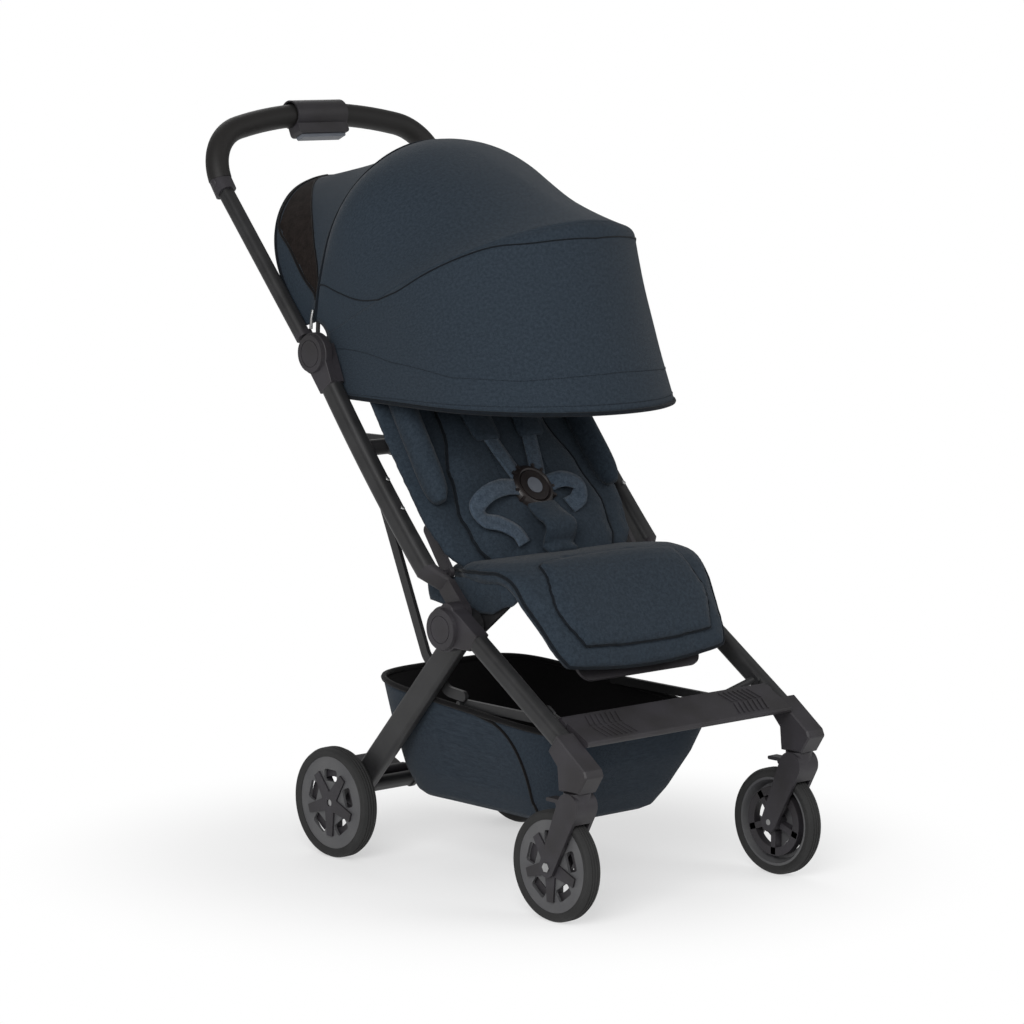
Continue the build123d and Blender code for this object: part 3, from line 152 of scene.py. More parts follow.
world = bpy.data.worlds.new("studio")
scene.world = world
world.use_nodes = True
tree = world.node_tree
tree.nodes.clear()
path = tree.nodes.new("ShaderNodeLightPath").outputs
seen = calc(tree, "MAXIMUM", path["Is Camera Ray"], path["Is Transmission Ray"])
skies = [put(tree, "ShaderNodeBackground", Color=WHITE, Strength=strength) for strength in (AMBIENT, 1.0)]
end_in_mix(tree, "ShaderNodeOutputWorld", seen, *skies)
print("world: strength", AMBIENT)

# %% Lamps
LAMPS = {  # place, size and power
    "key_light": ((-3.3, -2.3, 2.3), 2.4, 150),
    "fill_light": ((1.8, -3.0, 2.2), 2.2, 26),
    "back_light": ((1.2, 2.6, 2.6), 1.8, 18),
}
LAMP_AIM = Vector((0, 0, 0.5))


def lamp(name, at, size, power):
    """A square soft box that faces the middle of the stroller."""
    data = bpy.data.lights.new(name, "AREA")
    data.shape = "SQUARE"
    data.size = size
    data.energy = power
    obj = add_object(name, data)
    obj.location = at
    obj.rotation_euler = (LAMP_AIM - Vector(at)).to_track_quat("-Z", "Y").to_euler()


for name, values in LAMPS.items():
    lamp(name, *values)
print("lamps:", ", ".join(LAMPS))

# %% [markdown]
# ## Floor
# The floor is a matt disc that keeps the shadow of the wheels. A plane with a wall behind it would show a
# line where they meet. The disc instead glows a little everywhere, which keeps the shadow light, and away
# from the stroller it turns into the same white that the world shows, so that no horizon can be seen.

# %% Floor
FLOOR_RADIUS = 6.0
FADE_FROM, FADE_TO = 0.30, 0.72
FLOOR_GLOW = 0.50
FLOOR_PAINT = (0.93, 0.93, 0.93, 1)

floor_mesh = bpy.data.meshes.new("floor")
bm = bmesh.new()
bmesh.ops.create_circle(bm, cap_ends=True, radius=FLOOR_RADIUS, segments=96)
bm.to_mesh(floor_mesh)
bm.free()
floor = add_object("floor", floor_mesh)
floor_white = bpy.data.materials.new("floor_white")
floor_white.use_nodes = True
tree = floor_white.node_tree
tree.nodes.clear()
away = tree.nodes.new("ShaderNodeVectorMath")
away.operation = "LENGTH"
tree.links.new(tree.nodes.new("ShaderNodeTexCoord").outputs["Object"], away.inputs[0])
fade = put(
    tree, "ShaderNodeMapRange",
    Value=away.outputs["Value"], From_Min=FADE_FROM, From_Max=FADE_TO, To_Min=FLOOR_GLOW,
)
fade.interpolation_type = "SMOOTHSTEP"
path = tree.nodes.new("ShaderNodeLightPath").outputs
seen = calc(tree, "MAXIMUM", path["Is Camera Ray"], path["Is Glossy Ray"])
shown = calc(tree, "MULTIPLY", seen, fade.outputs["Result"])
matt = put(tree, "ShaderNodeBsdfDiffuse", Color=FLOOR_PAINT)
glow = tree.nodes.new("ShaderNodeEmission")
end_in_mix(tree, "ShaderNodeOutputMaterial", shown, matt, glow)
floor.data.materials.append(floor_white)
print("floor: white from", FADE_TO, "m outwards")

# %% [markdown]
# ## Grain of mouldings and paint
# Moulded plastic and powder coat both have a fine grain and a slow mottle. Every finish could build its own
# noise, but a node group does it once, and each material places the group with its own scale.

# %% Grain group
MOTTLE_SHARE = 0.012


def new_group(name, inputs, outputs):
    """An empty shader group with its sockets, and the nodes that hold them inside."""
    group = bpy.data.node_groups.new(name, "ShaderNodeTree")
    for label, kind in inputs:
        group.interface.new_socket(label, in_out="INPUT", socket_type=kind)
    for label, kind in outputs:
        group.interface.new_socket(label, in_out="OUTPUT", socket_type=kind)
    return group, group.nodes.new("NodeGroupInput").outputs, group.nodes.new("NodeGroupOutput").inputs


def noise_in(group, given, scale, detail):
    """A noise on the coordinates that the group is given."""
    return put(group, "ShaderNodeTexNoise", Vector=given["Vector"], Scale=scale, Detail=detail).outputs["Fac"]


grain_group, given, result = new_group(
    "moulded_grain",
    [("Vector", "NodeSocketVector"), ("Scale", "NodeSocketFloat")],
    [("Height", "NodeSocketFloat"), ("Mottle", "NodeSocketFloat")],
)
fine = noise_in(grain_group, given, given["Scale"], 3.0)
slow = noise_in(grain_group, given, calc(grain_group, "MULTIPLY", given["Scale"], MOTTLE_SHARE), 4.0)
grain_group.links.new(fine, result["Height"])
grain_group.links.new(slow, result["Mottle"])
print("group:", grain_group.name)

# %% [markdown]
# ## Weave of the cloth
# The cloth is a melange: two crossing sets of threads, with flecks of a lighter yarn. A picture of cloth
# would show its pixels from close by. Two sine waves that are multiplied give the crossing threads at any
# distance, and two noises, one about as fine as the threads and one slower, give the fuzz and the flecks.

# %% Weave group
FUZZ_SHARE = 0.55
YARN_SHARE = 0.16

weave_group, given, result = new_group(
    "woven_cloth",
    [("Vector", "NodeSocketVector"), ("Threads", "NodeSocketFloat")],
    [("Height", "NodeSocketFloat"), ("Fleck", "NodeSocketFloat")],
)
parts = put(weave_group, "ShaderNodeSeparateXYZ", Vector=given["Vector"])
ridges = []
for axis in ("X", "Y"):
    turns = calc(weave_group, "MULTIPLY", parts.outputs[axis], given["Threads"])
    ridges.append(calc(weave_group, "SINE", calc(weave_group, "MULTIPLY", turns, math.tau)))
over = calc(weave_group, "MULTIPLY", *ridges)
fuzz = noise_in(weave_group, given, calc(weave_group, "MULTIPLY", given["Threads"], FUZZ_SHARE), 2.0)
yarn = noise_in(weave_group, given, calc(weave_group, "MULTIPLY", given["Threads"], YARN_SHARE), 3.0)
height = calc(weave_group, "ADD", calc(weave_group, "MULTIPLY", over, 0.5), fuzz)
fleck = calc(weave_group, "MULTIPLY", calc(weave_group, "ADD", fuzz, yarn), 0.5)
weave_group.links.new(height, result["Height"])
weave_group.links.new(fleck, result["Fleck"])
print("group:", weave_group.name)

# %% [markdown]
# ## Finish makers
# A finish is a Principled shader with one of the two groups. Its colour could be a single value, but then a
# large part looks like paper. A ramp between two near shades keeps every surface from being one flat
# colour, and the height of the group bends the light on it.

# %% Finish makers
BUMP_HEIGHT = 0.0004
POLISH_SPREAD = 0.05


def linear(code):
    """Linear colour of a screen colour such as 2b2b2b."""
    channels = [int(code[i : i + 2], 16) / 255 for i in (0, 2, 4)]
    return tuple(c / 12.92 if c <= 0.04045 else ((c + 0.055) / 1.055) ** 2.4 for c in channels) + (1.0,)


def shade(tree, mask, dark, light, low, high):
    """Two screen colours mixed by a mask that runs from low to high."""
    spread = put(tree, "ShaderNodeMapRange", Value=mask, From_Min=low, From_Max=high)
    mix = tree.nodes.new("ShaderNodeMix")
    mix.data_type = "RGBA"
    tree.links.new(spread.outputs["Result"], mix.inputs["Factor"])
    first, second = [socket for socket in mix.inputs if socket.type == "RGBA"]
    first.default_value = linear(dark)
    second.default_value = linear(light)
    return [socket for socket in mix.outputs if socket.type == "RGBA"][0]


def new_finish(name, group, coords, depth):
    """A material with a group on its coordinates, whose height bends the light."""
    material = bpy.data.materials.new(name)
    material.use_nodes = True
    tree = material.node_tree
    shader = tree.nodes["Principled BSDF"].inputs
    effect = tree.nodes.new("ShaderNodeGroup")
    effect.node_tree = group
    tree.links.new(tree.nodes.new("ShaderNodeTexCoord").outputs[coords], effect.inputs["Vector"])
    bump = put(tree, "ShaderNodeBump", Height=effect.outputs["Height"], Strength=depth, Distance=BUMP_HEIGHT)
    tree.links.new(bump.outputs["Normal"], shader["Normal"])
    return material, tree, shader, effect


def moulded(name, dark, light, rough, grain, depth, metallic=0.0):
    """Plastic, paint, rubber or metal: a grainy surface with a slow mottle."""
    material, tree, shader, effect = new_finish(name, grain_group, "Object", depth)
    effect.inputs["Scale"].default_value = grain
    mottle = effect.outputs["Mottle"]
    tree.links.new(shade(tree, mottle, dark, light, 0.35, 0.65), shader["Base Color"])
    polish = put(
        tree, "ShaderNodeMapRange", Value=mottle, To_Min=rough - POLISH_SPREAD, To_Max=rough + POLISH_SPREAD
    )
    tree.links.new(polish.outputs["Result"], shader["Roughness"])
    shader["Metallic"].default_value = metallic
    shader["Specular IOR Level"].default_value = 0.35
    return material


def woven(name, dark, light, coords="UV", threads=1400.0, depth=0.35, sheen=0.06):
    """Cloth: crossing threads with flecks, on the piece's own map or on its place."""
    material, tree, shader, effect = new_finish(name, weave_group, coords, depth)
    effect.inputs["Threads"].default_value = threads
    tree.links.new(shade(tree, effect.outputs["Fleck"], dark, light, 0.38, 0.62), shader["Base Color"])
    shader["Roughness"].default_value = 0.86
    shader["Specular IOR Level"].default_value = 0.12
    shader["Sheen Weight"].default_value = sheen
    shader["Sheen Roughness"].default_value = 0.45
    return material


print("finish makers: moulded and woven")

# %% [markdown]
# ## Finishes
# The tubes have a matt black powder coat and the joints are warm charcoal mouldings. The wheels' dishes are
# grey, the tyres dull rubber, and the grip is a dark leatherette. All the cloth is one navy melange, with a
# black lining in the basket. The cords of the piping, the bindings and the seams are near black, and that
# darkness is painted shade of the grooves along the seams. Every finish could take its pattern from a map,
# but cushions and cords have none that is even, so theirs comes from their place. Large sheets and straps
# keep a map that follows the cloth.

# %% Finishes
NAVY = ("1f272f", "2b343d")
FINISHES = {
    "frame_paint": moulded("frame_paint", "1c1c1d", "242425", 0.46, 2600.0, 0.10),
    "black_plastic": moulded("black_plastic", "222022", "2b292d", 0.52, 1900.0, 0.16),
    "wheel_grey": moulded("wheel_grey", "464648", "505051", 0.50, 1900.0, 0.12),
    "tyre_rubber": moulded("tyre_rubber", "1b1b1b", "252525", 0.75, 1500.0, 0.22),
    "bolt_steel": moulded("bolt_steel", "8c8c8c", "a6a6a6", 0.30, 1500.0, 0.05, metallic=1.0),
    "grip_leather": moulded("grip_leather", "0d0c0c", "141211", 0.58, 520.0, 0.40),
    "navy_cloth": woven("navy_cloth", *NAVY),
    "basket_cloth": woven("basket_cloth", "1d252e", "29323b"),
    "strap_web": woven("strap_web", "2e3843", "424d59", threads=700.0, depth=0.6, sheen=0.1),
    "buckle_plastic": moulded("buckle_plastic", "191515", "231e1d", 0.40, 1900.0, 0.10),
    "button_grey": moulded("button_grey", "54585f", "5f636b", 0.45, 1900.0, 0.08),
}
pad_cloth = woven("pad_cloth", *NAVY, coords="Object")
lining_cloth = woven("lining_cloth", "080708", "0d0c0d", coords="Object")
mesh_cloth = woven("mesh_cloth", "161210", "241e1c", threads=420.0, depth=0.9, sheen=0.0)
thread = woven("thread", "141b22", "1f272f", coords="Object", threads=2600.0)
# The piping, bindings and seam cords are near black, darker than the navy: the darkness is painted shade of the
# grooves along the seams.
piping_painted_shade = woven("piping_painted_shade", "0a0e13", "11171d", coords="Object", sheen=0.05)

slot_of = {part["node"]: part["material_slot"] for part in frame["record"]["subparts"]}
for name, node in nodes.items():
    node.data.materials.clear()
    node.data.materials.append(FINISHES["button_grey" if name == "fold_button" else slot_of[name]])
print("finishes:", len(FINISHES), "slots on", len(nodes), "nodes")

# %% [markdown]
# ## Canopy arches
# The hood is one navy sheet over two bows that turn on the hinges at the mid joint. Behind the ridge bow it
# runs down to the handle's tubes, and ahead of the front bow it hangs as a peak with a bound hem. The cloth
# could be dropped on the bows as a simulation, but its outline would then be hard to steer. So each arch is
# a crown arc and two side arcs, as the bows are bent, and two free arches shape the top between the bows.

# %% Canopy arches
HOOD_AXIS = joint_points["canopy_open"]
HOOD_HALF = 0.193
HOOD_FOOT = 0.030
ARCHES = {
    "rear": dict(angle=48.6, rise=0.290, side=0.240, crown=0.165, drop=0.0),
    "ridge": dict(angle=93.0, rise=0.267, side=0.258, crown=0.155, drop=0.0),
    "swell": dict(angle=110.0, rise=0.288, side=0.130, crown=0.250, drop=0.0),
    "dip": dict(angle=132.0, rise=0.308, side=0.200, crown=0.216, drop=0.0),
    "front": dict(angle=154.0, rise=0.395, side=0.230, crown=0.165, drop=0.0),
    "hem": dict(angle=180.9, rise=0.428, side=0.190, crown=0.125, drop=0.069),
}


def arch_point(name, across, lift=0.0):
    """A point of an arch: across runs from -1 at the right foot over the crown to 1 at the left foot."""
    arch = ARCHES[name]
    side, crown = arch["side"], arch["crown"]
    middle = arch["rise"] - crown
    turn = 1 if crown > side else -1
    spring = middle + turn * math.sqrt((crown - side) ** 2 - (HOOD_HALF - side) ** 2)
    bearing = math.atan2(turn * (spring - middle), turn * (HOOD_HALF - side))
    crown_run = crown * (math.pi / 2 - bearing)
    side_run = side * bearing
    run = abs(across) * (crown_run + side_run + spring - HOOD_FOOT)
    if run < crown_run:
        angle = math.pi / 2 - run / crown
        x, out = (crown + lift) * math.cos(angle), middle + (crown + lift) * math.sin(angle)
    elif run < crown_run + side_run:
        angle = bearing - (run - crown_run) / side
        x, out = HOOD_HALF - side + (side + lift) * math.cos(angle), spring + (side + lift) * math.sin(angle)
    else:
        x, out = HOOD_HALF + lift, spring - (run - crown_run - side_run)
    angle = math.radians(arch["angle"])
    y = HOOD_AXIS.y + out * math.cos(angle)
    z = HOOD_AXIS.z - arch["drop"] + out * math.sin(angle)
    return Vector((math.copysign(x, across), y, z))


print("canopy arches:", ", ".join(ARCHES))

# %% [markdown]
# ## Canopy surface
# Between two arches the cloth is stretched, and it is drawn in a little where nothing holds it. It could be
# moulded by hand. Here a function gives its point for two shares, u across the hood and v from one arch to
# the next, because the same function then lays every seam on the cloth.

# %% Canopy surface
HOOD_MIDDLE = Vector((0, HOOD_AXIS.y - 0.1, HOOD_AXIS.z + 0.05))
REAR_DIP = 0.006
PEAK_DIP = 0.004
PANEL_RIPPLE = (0.07, 0.0012)
TOP_RIPPLE = (0.08, 0.0015)


def drawn_in(point, amount):
    """A point of the cloth moved towards the middle of the hood."""
    return point + (HOOD_MIDDLE - point).normalized() * amount


def ripple(point, size, depth):
    """A slow unevenness of the cloth."""
    return noise.noise(point / size) * depth


def panel_point(first, second, u, v, dip):
    """A point between two arches."""
    across = 2 * u - 1
    point = arch_point(first, across).lerp(arch_point(second, across), v)
    slack = 4 * v * (1 - v)
    return drawn_in(point, dip * slack + ripple(point, *PANEL_RIPPLE) * slack)


def rear_point(u, v):
    """From the handle's tubes to the ridge bow."""
    return panel_point("rear", "ridge", u, v, REAR_DIP)


def middle_point(u, v):
    """Through the ridge, two free arches and the front bow in one sweep."""
    across, t = 2 * u - 1, 3 * v
    a, b, c, d = (arch_point(name, across) for name in ("ridge", "swell", "dip", "front"))
    point = a * ((1 - t) * (2 - t) * (3 - t) / 6) + b * (t * (2 - t) * (3 - t) / 2)
    point += c * (t * (t - 1) * (3 - t) / 2) + d * (t * (t - 1) * (t - 2) / 6)
    return drawn_in(point, ripple(point, *TOP_RIPPLE) * 4 * v * (1 - v))


def peak_point(u, v):
    """From the front bow to the hem of the peak."""
    return panel_point("front", "hem", u, v, PEAK_DIP)


print("canopy surface: ridge at", round(rear_point(0.5, 1.0).z, 3), "m")

# %% [markdown]
# ## Cloth from a grid
# A sheet of cloth starts as a flat grid whose points a function moves to their places. The grid also gets a
# map in metres, which the weave follows.

# %% Cloth helpers
def keep_mesh(name, bm, *materials):
    """The object of a finished bmesh, smooth shaded."""
    mesh = bpy.data.meshes.new(name)
    bm.to_mesh(mesh)
    bm.free()
    for material in materials:
        mesh.materials.append(material)
    mesh.polygons.foreach_set("use_smooth", [True] * len(mesh.polygons))
    return add_object(name, mesh)


def settle(obj):
    """Bakes the modifiers of an object into its mesh."""
    graph = bpy.context.evaluated_depsgraph_get()
    mesh = bpy.data.meshes.new_from_object(
        obj.evaluated_get(graph), preserve_all_data_layers=True, depsgraph=graph
    )
    obj.modifiers.clear()
    obj.data = mesh
    return obj


def cloth_grid(name, across, along, place, size, inside, *materials, paint=None):
    """A grid laid by place(u, v), u and v from 0 to 1, facing away from inside; its map is in metres.
    paint(u, v) chooses the material of a face."""
    bm = bmesh.new()
    layer = bm.loops.layers.uv.new("UVMap")
    bmesh.ops.create_grid(bm, x_segments=across, y_segments=along, size=0.5)
    for face in bm.faces:
        for loop in face.loops:
            loop[layer].uv = ((loop.vert.co.x + 0.5) * size[0], (loop.vert.co.y + 0.5) * size[1])
        if paint:
            middle = face.calc_center_median()
            face.material_index = paint(middle.x + 0.5, middle.y + 0.5)
    for vert in bm.verts:
        vert.co = place(vert.co.x + 0.5, vert.co.y + 0.5)
    bm.normal_update()
    facing = sum(face.normal.dot(face.calc_center_median() - inside) * face.calc_area() for face in bm.faces)
    if facing < 0:
        bmesh.ops.reverse_faces(bm, faces=bm.faces)
    return keep_mesh(name, bm, *materials)


def thicken(obj, thickness, inner=0, offset=-1.0):
    """Gives a sheet its thickness; inner is the material slot of its inner face."""
    wall = obj.modifiers.new("wall", "SOLIDIFY")
    wall.thickness = thickness
    wall.offset = offset
    wall.material_offset = inner
    wall.use_even_offset = False
    return settle(obj)


print("cloth helpers: cloth_grid and thicken")

# %% [markdown]
# ## Canopy panels
# The hood is cut at its bows into three panels. Each side of the rear one has a mesh window, a crescent
# between a zip and a seam. The mesh could be a piece of its own, but its edge would then have to be fitted
# to the cloth. Here the faces that lie in the crescent get the material of the mesh instead.

# %% Canopy panels
CLOTH = 0.0016
WINDOW_LOW = [(0.0, 1.0), (0.045, 1.0), (0.095, 0.48), (0.188, 0.19), (0.25, 0.04), (0.5, 0.04)]
WINDOW_HIGH = [
    (0.0, 1.0), (0.078, 1.0), (0.10, 0.88), (0.17, 0.64), (0.268, 0.425), (0.40, 0.16), (0.47, 0.04),
]


def rows_around(table, at):
    """The two values around a place in a table of (place, value) rows, and the share of the way."""
    for (a, first), (b, second) in zip(table, table[1:]):
        if at <= b:
            return first, second, max(0.0, (at - a) / (b - a))
    return table[-1][1], table[-1][1], 0.0


def between(table, at):
    """Value at a place in a table."""
    first, second, t = rows_around(table, at)
    return first + (second - first) * t


def window(u, v):
    """1 for the mesh of a window, 0 for the cloth round it."""
    near = min(u, 1 - u)
    return 1 if between(WINDOW_LOW, near) < v < between(WINDOW_HIGH, near) else 0


def hood_panel(name, across, along, place, size, *materials, paint=None):
    """A panel of the hood with its thickness."""
    return thicken(cloth_grid(name, across, along, place, size, HOOD_MIDDLE, *materials, paint=paint), CLOTH)


navy = FINISHES["navy_cloth"]
hood_rear = hood_panel("canopy_rear", 180, 64, rear_point, (0.70, 0.21), navy, mesh_cloth, paint=window)
hood_top = hood_panel("canopy_top", 96, 40, middle_point, (0.80, 0.36), navy)
hood_peak = hood_panel("canopy_peak", 96, 30, peak_point, (0.97, 0.26), navy)
print("canopy:", len(hood_top.data.polygons), "faces on the top panel")

# %% [markdown]
# ## Canopy on its joints
# As the hood opens, its cloth turns with the bows. A panel could ride one bow, but then it would tear off
# the other. The rear and the top panel are not blended between bodies: their place is baked into their mesh,
# and they stay where they are built. The peak hangs on the front bow alone and rides it.

# %% Canopy on its joints
REAR_BLEND = ("handle", "canopy_middle", "ridge", 0.12)
TOP_BLEND = ("canopy_middle", "canopy_visor", "front", 0.16)


def dress(obj, body, slot, *replaced):
    """Puts a piece on a body and hides the CAD nodes that it stands for; slot is not used."""
    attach(obj, body)
    if replaced:
        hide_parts(*replaced)
    return obj


def blend_hood(panel, first, second, arch, reach):
    """Bakes a piece's place into its mesh; the two bodies, the arch and the reach are not used."""
    end = HOOD_AXIS.copy()
    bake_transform(panel)


blend_hood(hood_rear, *REAR_BLEND)
blend_hood(hood_top, *TOP_BLEND)
dress(hood_peak, "canopy_visor", "navy_cloth", "canopy_front_panel")
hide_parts("canopy_rear_panel")
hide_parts("canopy_mid_panel")
print("canopy on:", ", ".join(REAR_BLEND[:2] + TOP_BLEND[1:2]))

# %% [markdown]
# ## Cords and stitches
# Piping, bindings and thread are round lines along a path. A curve with a round bevel draws them, and it
# could stay a curve. It is made into a mesh at once, because a piece that is handed over is a mesh.

# %% Cord helpers
STITCH = 0.0028
STITCH_PITCH = 0.0042


def smoothed(points, count):
    """A smooth line of count steps through some points."""
    points = [Vector(point) for point in points]
    spans = len(points) - 1
    line = []
    for step in range(count + 1):
        at = step / count * spans
        span = min(int(at), spans - 1)
        t = at - span
        a, b, c, d = (points[max(0, min(i, spans))] for i in range(span - 1, span + 3))
        slope = (c - a) * (t / 2)
        bend = (a - b * 2.5 + c * 2 - d / 2) * t * t
        twist = ((b - c) * 1.5 + (d - a) / 2) * t**3
        line.append(b + slope + bend + twist)
    return line


def round_lines(name, runs, radius, material, closed=False, sides=2):
    """Round cords along several runs of points, as one mesh."""
    curve = bpy.data.curves.new(name, "CURVE")
    curve.dimensions = "3D"
    curve.bevel_depth = radius
    curve.bevel_resolution = sides
    curve.use_fill_caps = True
    for run in runs:
        spline = curve.splines.new("POLY")
        spline.points.add(len(run) - 1)
        for point, at in zip(spline.points, run):
            point.co = (*at, 1.0)
        spline.use_cyclic_u = closed
    holder = bpy.data.objects.new(name + "_line", curve)
    mesh = bpy.data.meshes.new_from_object(holder)
    bpy.data.objects.remove(holder)
    mesh.materials.clear()
    mesh.materials.append(material)
    mesh.polygons.foreach_set("use_smooth", [True] * len(mesh.polygons))
    return add_object(name, mesh)


def stitch_runs(line):
    """Short runs of thread along a line of points."""
    runs, travelled, due = [], 0.0, 0.0
    for start, end in zip(line, line[1:]):
        step = (end - start).length
        while due < travelled + step and step > 0:
            first = start.lerp(end, (due - travelled) / step)
            runs.append([first, first + (end - start).normalized() * STITCH])
            due += STITCH_PITCH
        travelled += step
    return runs


print("cord helpers: one stitch every", STITCH_PITCH, "m")

# %% [markdown]
# ## Canopy bindings
# A cord of piping crosses the hood just ahead of the ridge bow, and the front and the rear edge are bound.
# The cloth could be rolled over a cord, but a round line that is sunk into the edge looks the same.

# %% Canopy bindings
RIDGE_SEAM = 0.07
RIDGE_STEPS = 160
ARCH_STEPS = 120
SUNK = -0.0008
PIPING = 0.0026
HEM_CORD = 0.0030


def arch_line(name):
    """The middle of a cord along an arch."""
    return [arch_point(name, -1 + 2 * step / ARCH_STEPS, SUNK) for step in range(ARCH_STEPS + 1)]


ridge_line = [middle_point(step / RIDGE_STEPS, RIDGE_SEAM) for step in range(RIDGE_STEPS + 1)]
ridge_piping = round_lines("canopy_ridge_piping", [ridge_line], PIPING, piping_painted_shade)
blend_hood(ridge_piping, *TOP_BLEND)
hem_binding = round_lines("canopy_hem_binding", [arch_line("hem")], HEM_CORD, piping_painted_shade)
dress(hem_binding, "canopy_visor", "navy_cloth")
rear_binding = round_lines("canopy_rear_binding", [arch_line("rear")], PIPING, piping_painted_shade)
dress(rear_binding, "handle", "navy_cloth")
print("canopy bindings: hem, ridge and rear")

# %% [markdown]
# ## Hem stitches
# The hem of the peak is a wide band that is sewn on with two rows of stitches. A picture of stitches would
# be enough from far away. Short runs of real thread also catch the light from close by.

# %% Hem stitches
THREAD = 0.00045
HEM_STEPS = 200
HEM_RISE = [(0.0, 0.25), (0.055, 0.40), (0.138, 0.62), (0.25, 0.77), (0.35, 0.81), (0.5, 0.795)]
HEM_LOW = 0.955
EDGE_LIFT = 0.0004


def cloth_line(place, line, lift):
    """Points of a panel along a line of (u, v) places, lifted off the cloth."""
    points = [place(u, v) for u, v in line]
    return [point + (point - HOOD_MIDDLE).normalized() * lift for point in points]


hem_shares = [(step / HEM_STEPS, min(step, HEM_STEPS - step) / HEM_STEPS) for step in range(HEM_STEPS + 1)]
hem_band = [(u, between(HEM_RISE, near)) for u, near in hem_shares]
hem_low = [(u, HEM_LOW) for u, _ in hem_shares]
hem_runs = []
for line in (hem_band, hem_low):
    hem_runs += stitch_runs(cloth_line(peak_point, line, EDGE_LIFT))
hem_stitches = round_lines("canopy_hem_stitches", hem_runs, THREAD, thread, sides=1)
dress(hem_stitches, "canopy_visor", "navy_cloth")
print("hem:", len(hem_runs), "stitches")

# %% [markdown]
# ## Canopy seams
# On each side a seam runs forward from the ridge, turns at the front bow and meets its twin over the peak.
# The window has a zip along one edge and a seam along the other. Each could be a line in space. A few
# places on its panel need fewer numbers, and their mirror image comes for free.

# %% Canopy seams
SEAM_STEPS = 60
SEAM_LIFT, SEAM_CORD = 0.0003, 0.0010
ZIP_LIFT, ZIP_CORD = 0.0006, 0.0022
EDGE_CORD = 0.0012
WAVE_SIDE = [(0.070, RIDGE_SEAM), (0.070, 0.25), (0.074, 0.50), (0.088, 0.74), (0.106, 0.90), (0.130, 1.0)]
WAVE_BROW = [
    (0.130, 0.0), (0.155, 0.018), (0.180, 0.03), (0.240, 0.01), (0.300, 0.006), (0.345, 0.017),
    (0.402, 0.058), (0.5, 0.085),
]
ZIP = WINDOW_LOW[1:-1] + [(0.36, 0.03), (0.48, 0.03)]


def both_sides(place, table, lift):
    """A smooth seam through some (u, v) places of a panel on the right, and its mirror image on the left."""
    line = [(point.x, point.y) for point in smoothed([(u, v, 0) for u, v in table], SEAM_STEPS)]
    mirrored = [(1 - u, v) for u, v in line]
    return [cloth_line(place, line, lift), cloth_line(place, mirrored, lift)]


sides = both_sides(middle_point, WAVE_SIDE, SEAM_LIFT)
wave_sides = round_lines("canopy_wave_seam", sides, SEAM_CORD, piping_painted_shade)
blend_hood(wave_sides, *TOP_BLEND)
brows = both_sides(peak_point, WAVE_BROW, SEAM_LIFT)
wave_brow = round_lines("canopy_brow_seam", brows, SEAM_CORD, piping_painted_shade)
dress(wave_brow, "canopy_visor", "navy_cloth")
window_zip = round_lines("canopy_zip", both_sides(rear_point, ZIP, ZIP_LIFT), ZIP_CORD, lining_cloth)
edges = both_sides(rear_point, WINDOW_HIGH[1:], EDGE_LIFT)
window_edge = round_lines("canopy_window_edge", edges, EDGE_CORD, lining_cloth)
for piece in (window_zip, window_edge):
    blend_hood(piece, *REAR_BLEND)
print("canopy seams:", SEAM_STEPS, "steps each")

# %% [markdown]
# ## Zip pulls
# A small metal pull hangs from the foot of each zip. It could be modelled link by link, but it is so small
# that a short bent rod is enough.

# %% Zip pulls
PULL_FOOT, PULL_LIFT = 0.955, 0.004
PULL_HANG = ((0.0, 0.0, 0.0), (0.002, 0.001, -0.012), (0.002, 0.002, -0.026))
PULL_ROD = 0.0024

pulls = []
for side in (-1, 1):
    foot = arch_point("ridge", side * PULL_FOOT, PULL_LIFT)
    pulls.append([foot + Vector((side * x, y, z)) for x, y, z in PULL_HANG])
zip_pulls = round_lines("canopy_zip_pulls", pulls, PULL_ROD, FINISHES["bolt_steel"])
dress(zip_pulls, "handle", "bolt_steel")
print("zip pulls:", len(pulls))

# %% [markdown]
# ## Canopy as cut cloth
# Each panel was once a flat piece of cloth.

# %% Canopy as cut cloth
print("canopy: three sheets")

# %% [markdown]
# ## Seat path
# The seat and the leg rest are one padded cover that bends over the front rod of the seat. It could be
# modelled flat and bent by an armature. Here it is drawn along a path in the side view, back along the
# seat, round the knee and down the calf board, because each place on the path can then have its own width
# and height.

# %% Seat path
SEAT_STEPS = 200
SEAT_LOOK = 8
SEAT_PATH = smoothed(
    [
        (0, -0.040, 0.404), (0, -0.080, 0.407), (0, -0.120, 0.411), (0, -0.160, 0.416), (0, -0.190, 0.419),
        (0, -0.212, 0.413), (0, -0.228, 0.395), (0, -0.246, 0.370), (0, -0.264, 0.344), (0, -0.282, 0.318),
        (0, -0.295, 0.300),
    ],
    SEAT_STEPS,
)
SEAT_RUN = [0.0]
for start, end in zip(SEAT_PATH, SEAT_PATH[1:]):
    SEAT_RUN.append(SEAT_RUN[-1] + (end - start).length)
liner_end = SEAT_RUN[-1]
SIDE_RISE, SIDE_HALF, SIDE_RUN = 0.016, 0.18, 0.18


def on_seat(x, run, height):
    """A point over the seat path: x across, run along the path, height above the pan and the board."""
    run = max(0.0, min(run, liner_end - 1e-6))
    at = max(i for i, length in enumerate(SEAT_RUN[:-1]) if length <= run)
    along = (SEAT_PATH[at + 1] - SEAT_PATH[at]).normalized()
    point = SEAT_PATH[at] + along * (run - SEAT_RUN[at])
    ahead = SEAT_PATH[min(at + 1 + SEAT_LOOK, SEAT_STEPS)] - SEAT_PATH[max(at - SEAT_LOOK, 0)]
    up = Vector((0, ahead.z, -ahead.y)).normalized()
    return point + Vector((x, 0, 0)) + up * height


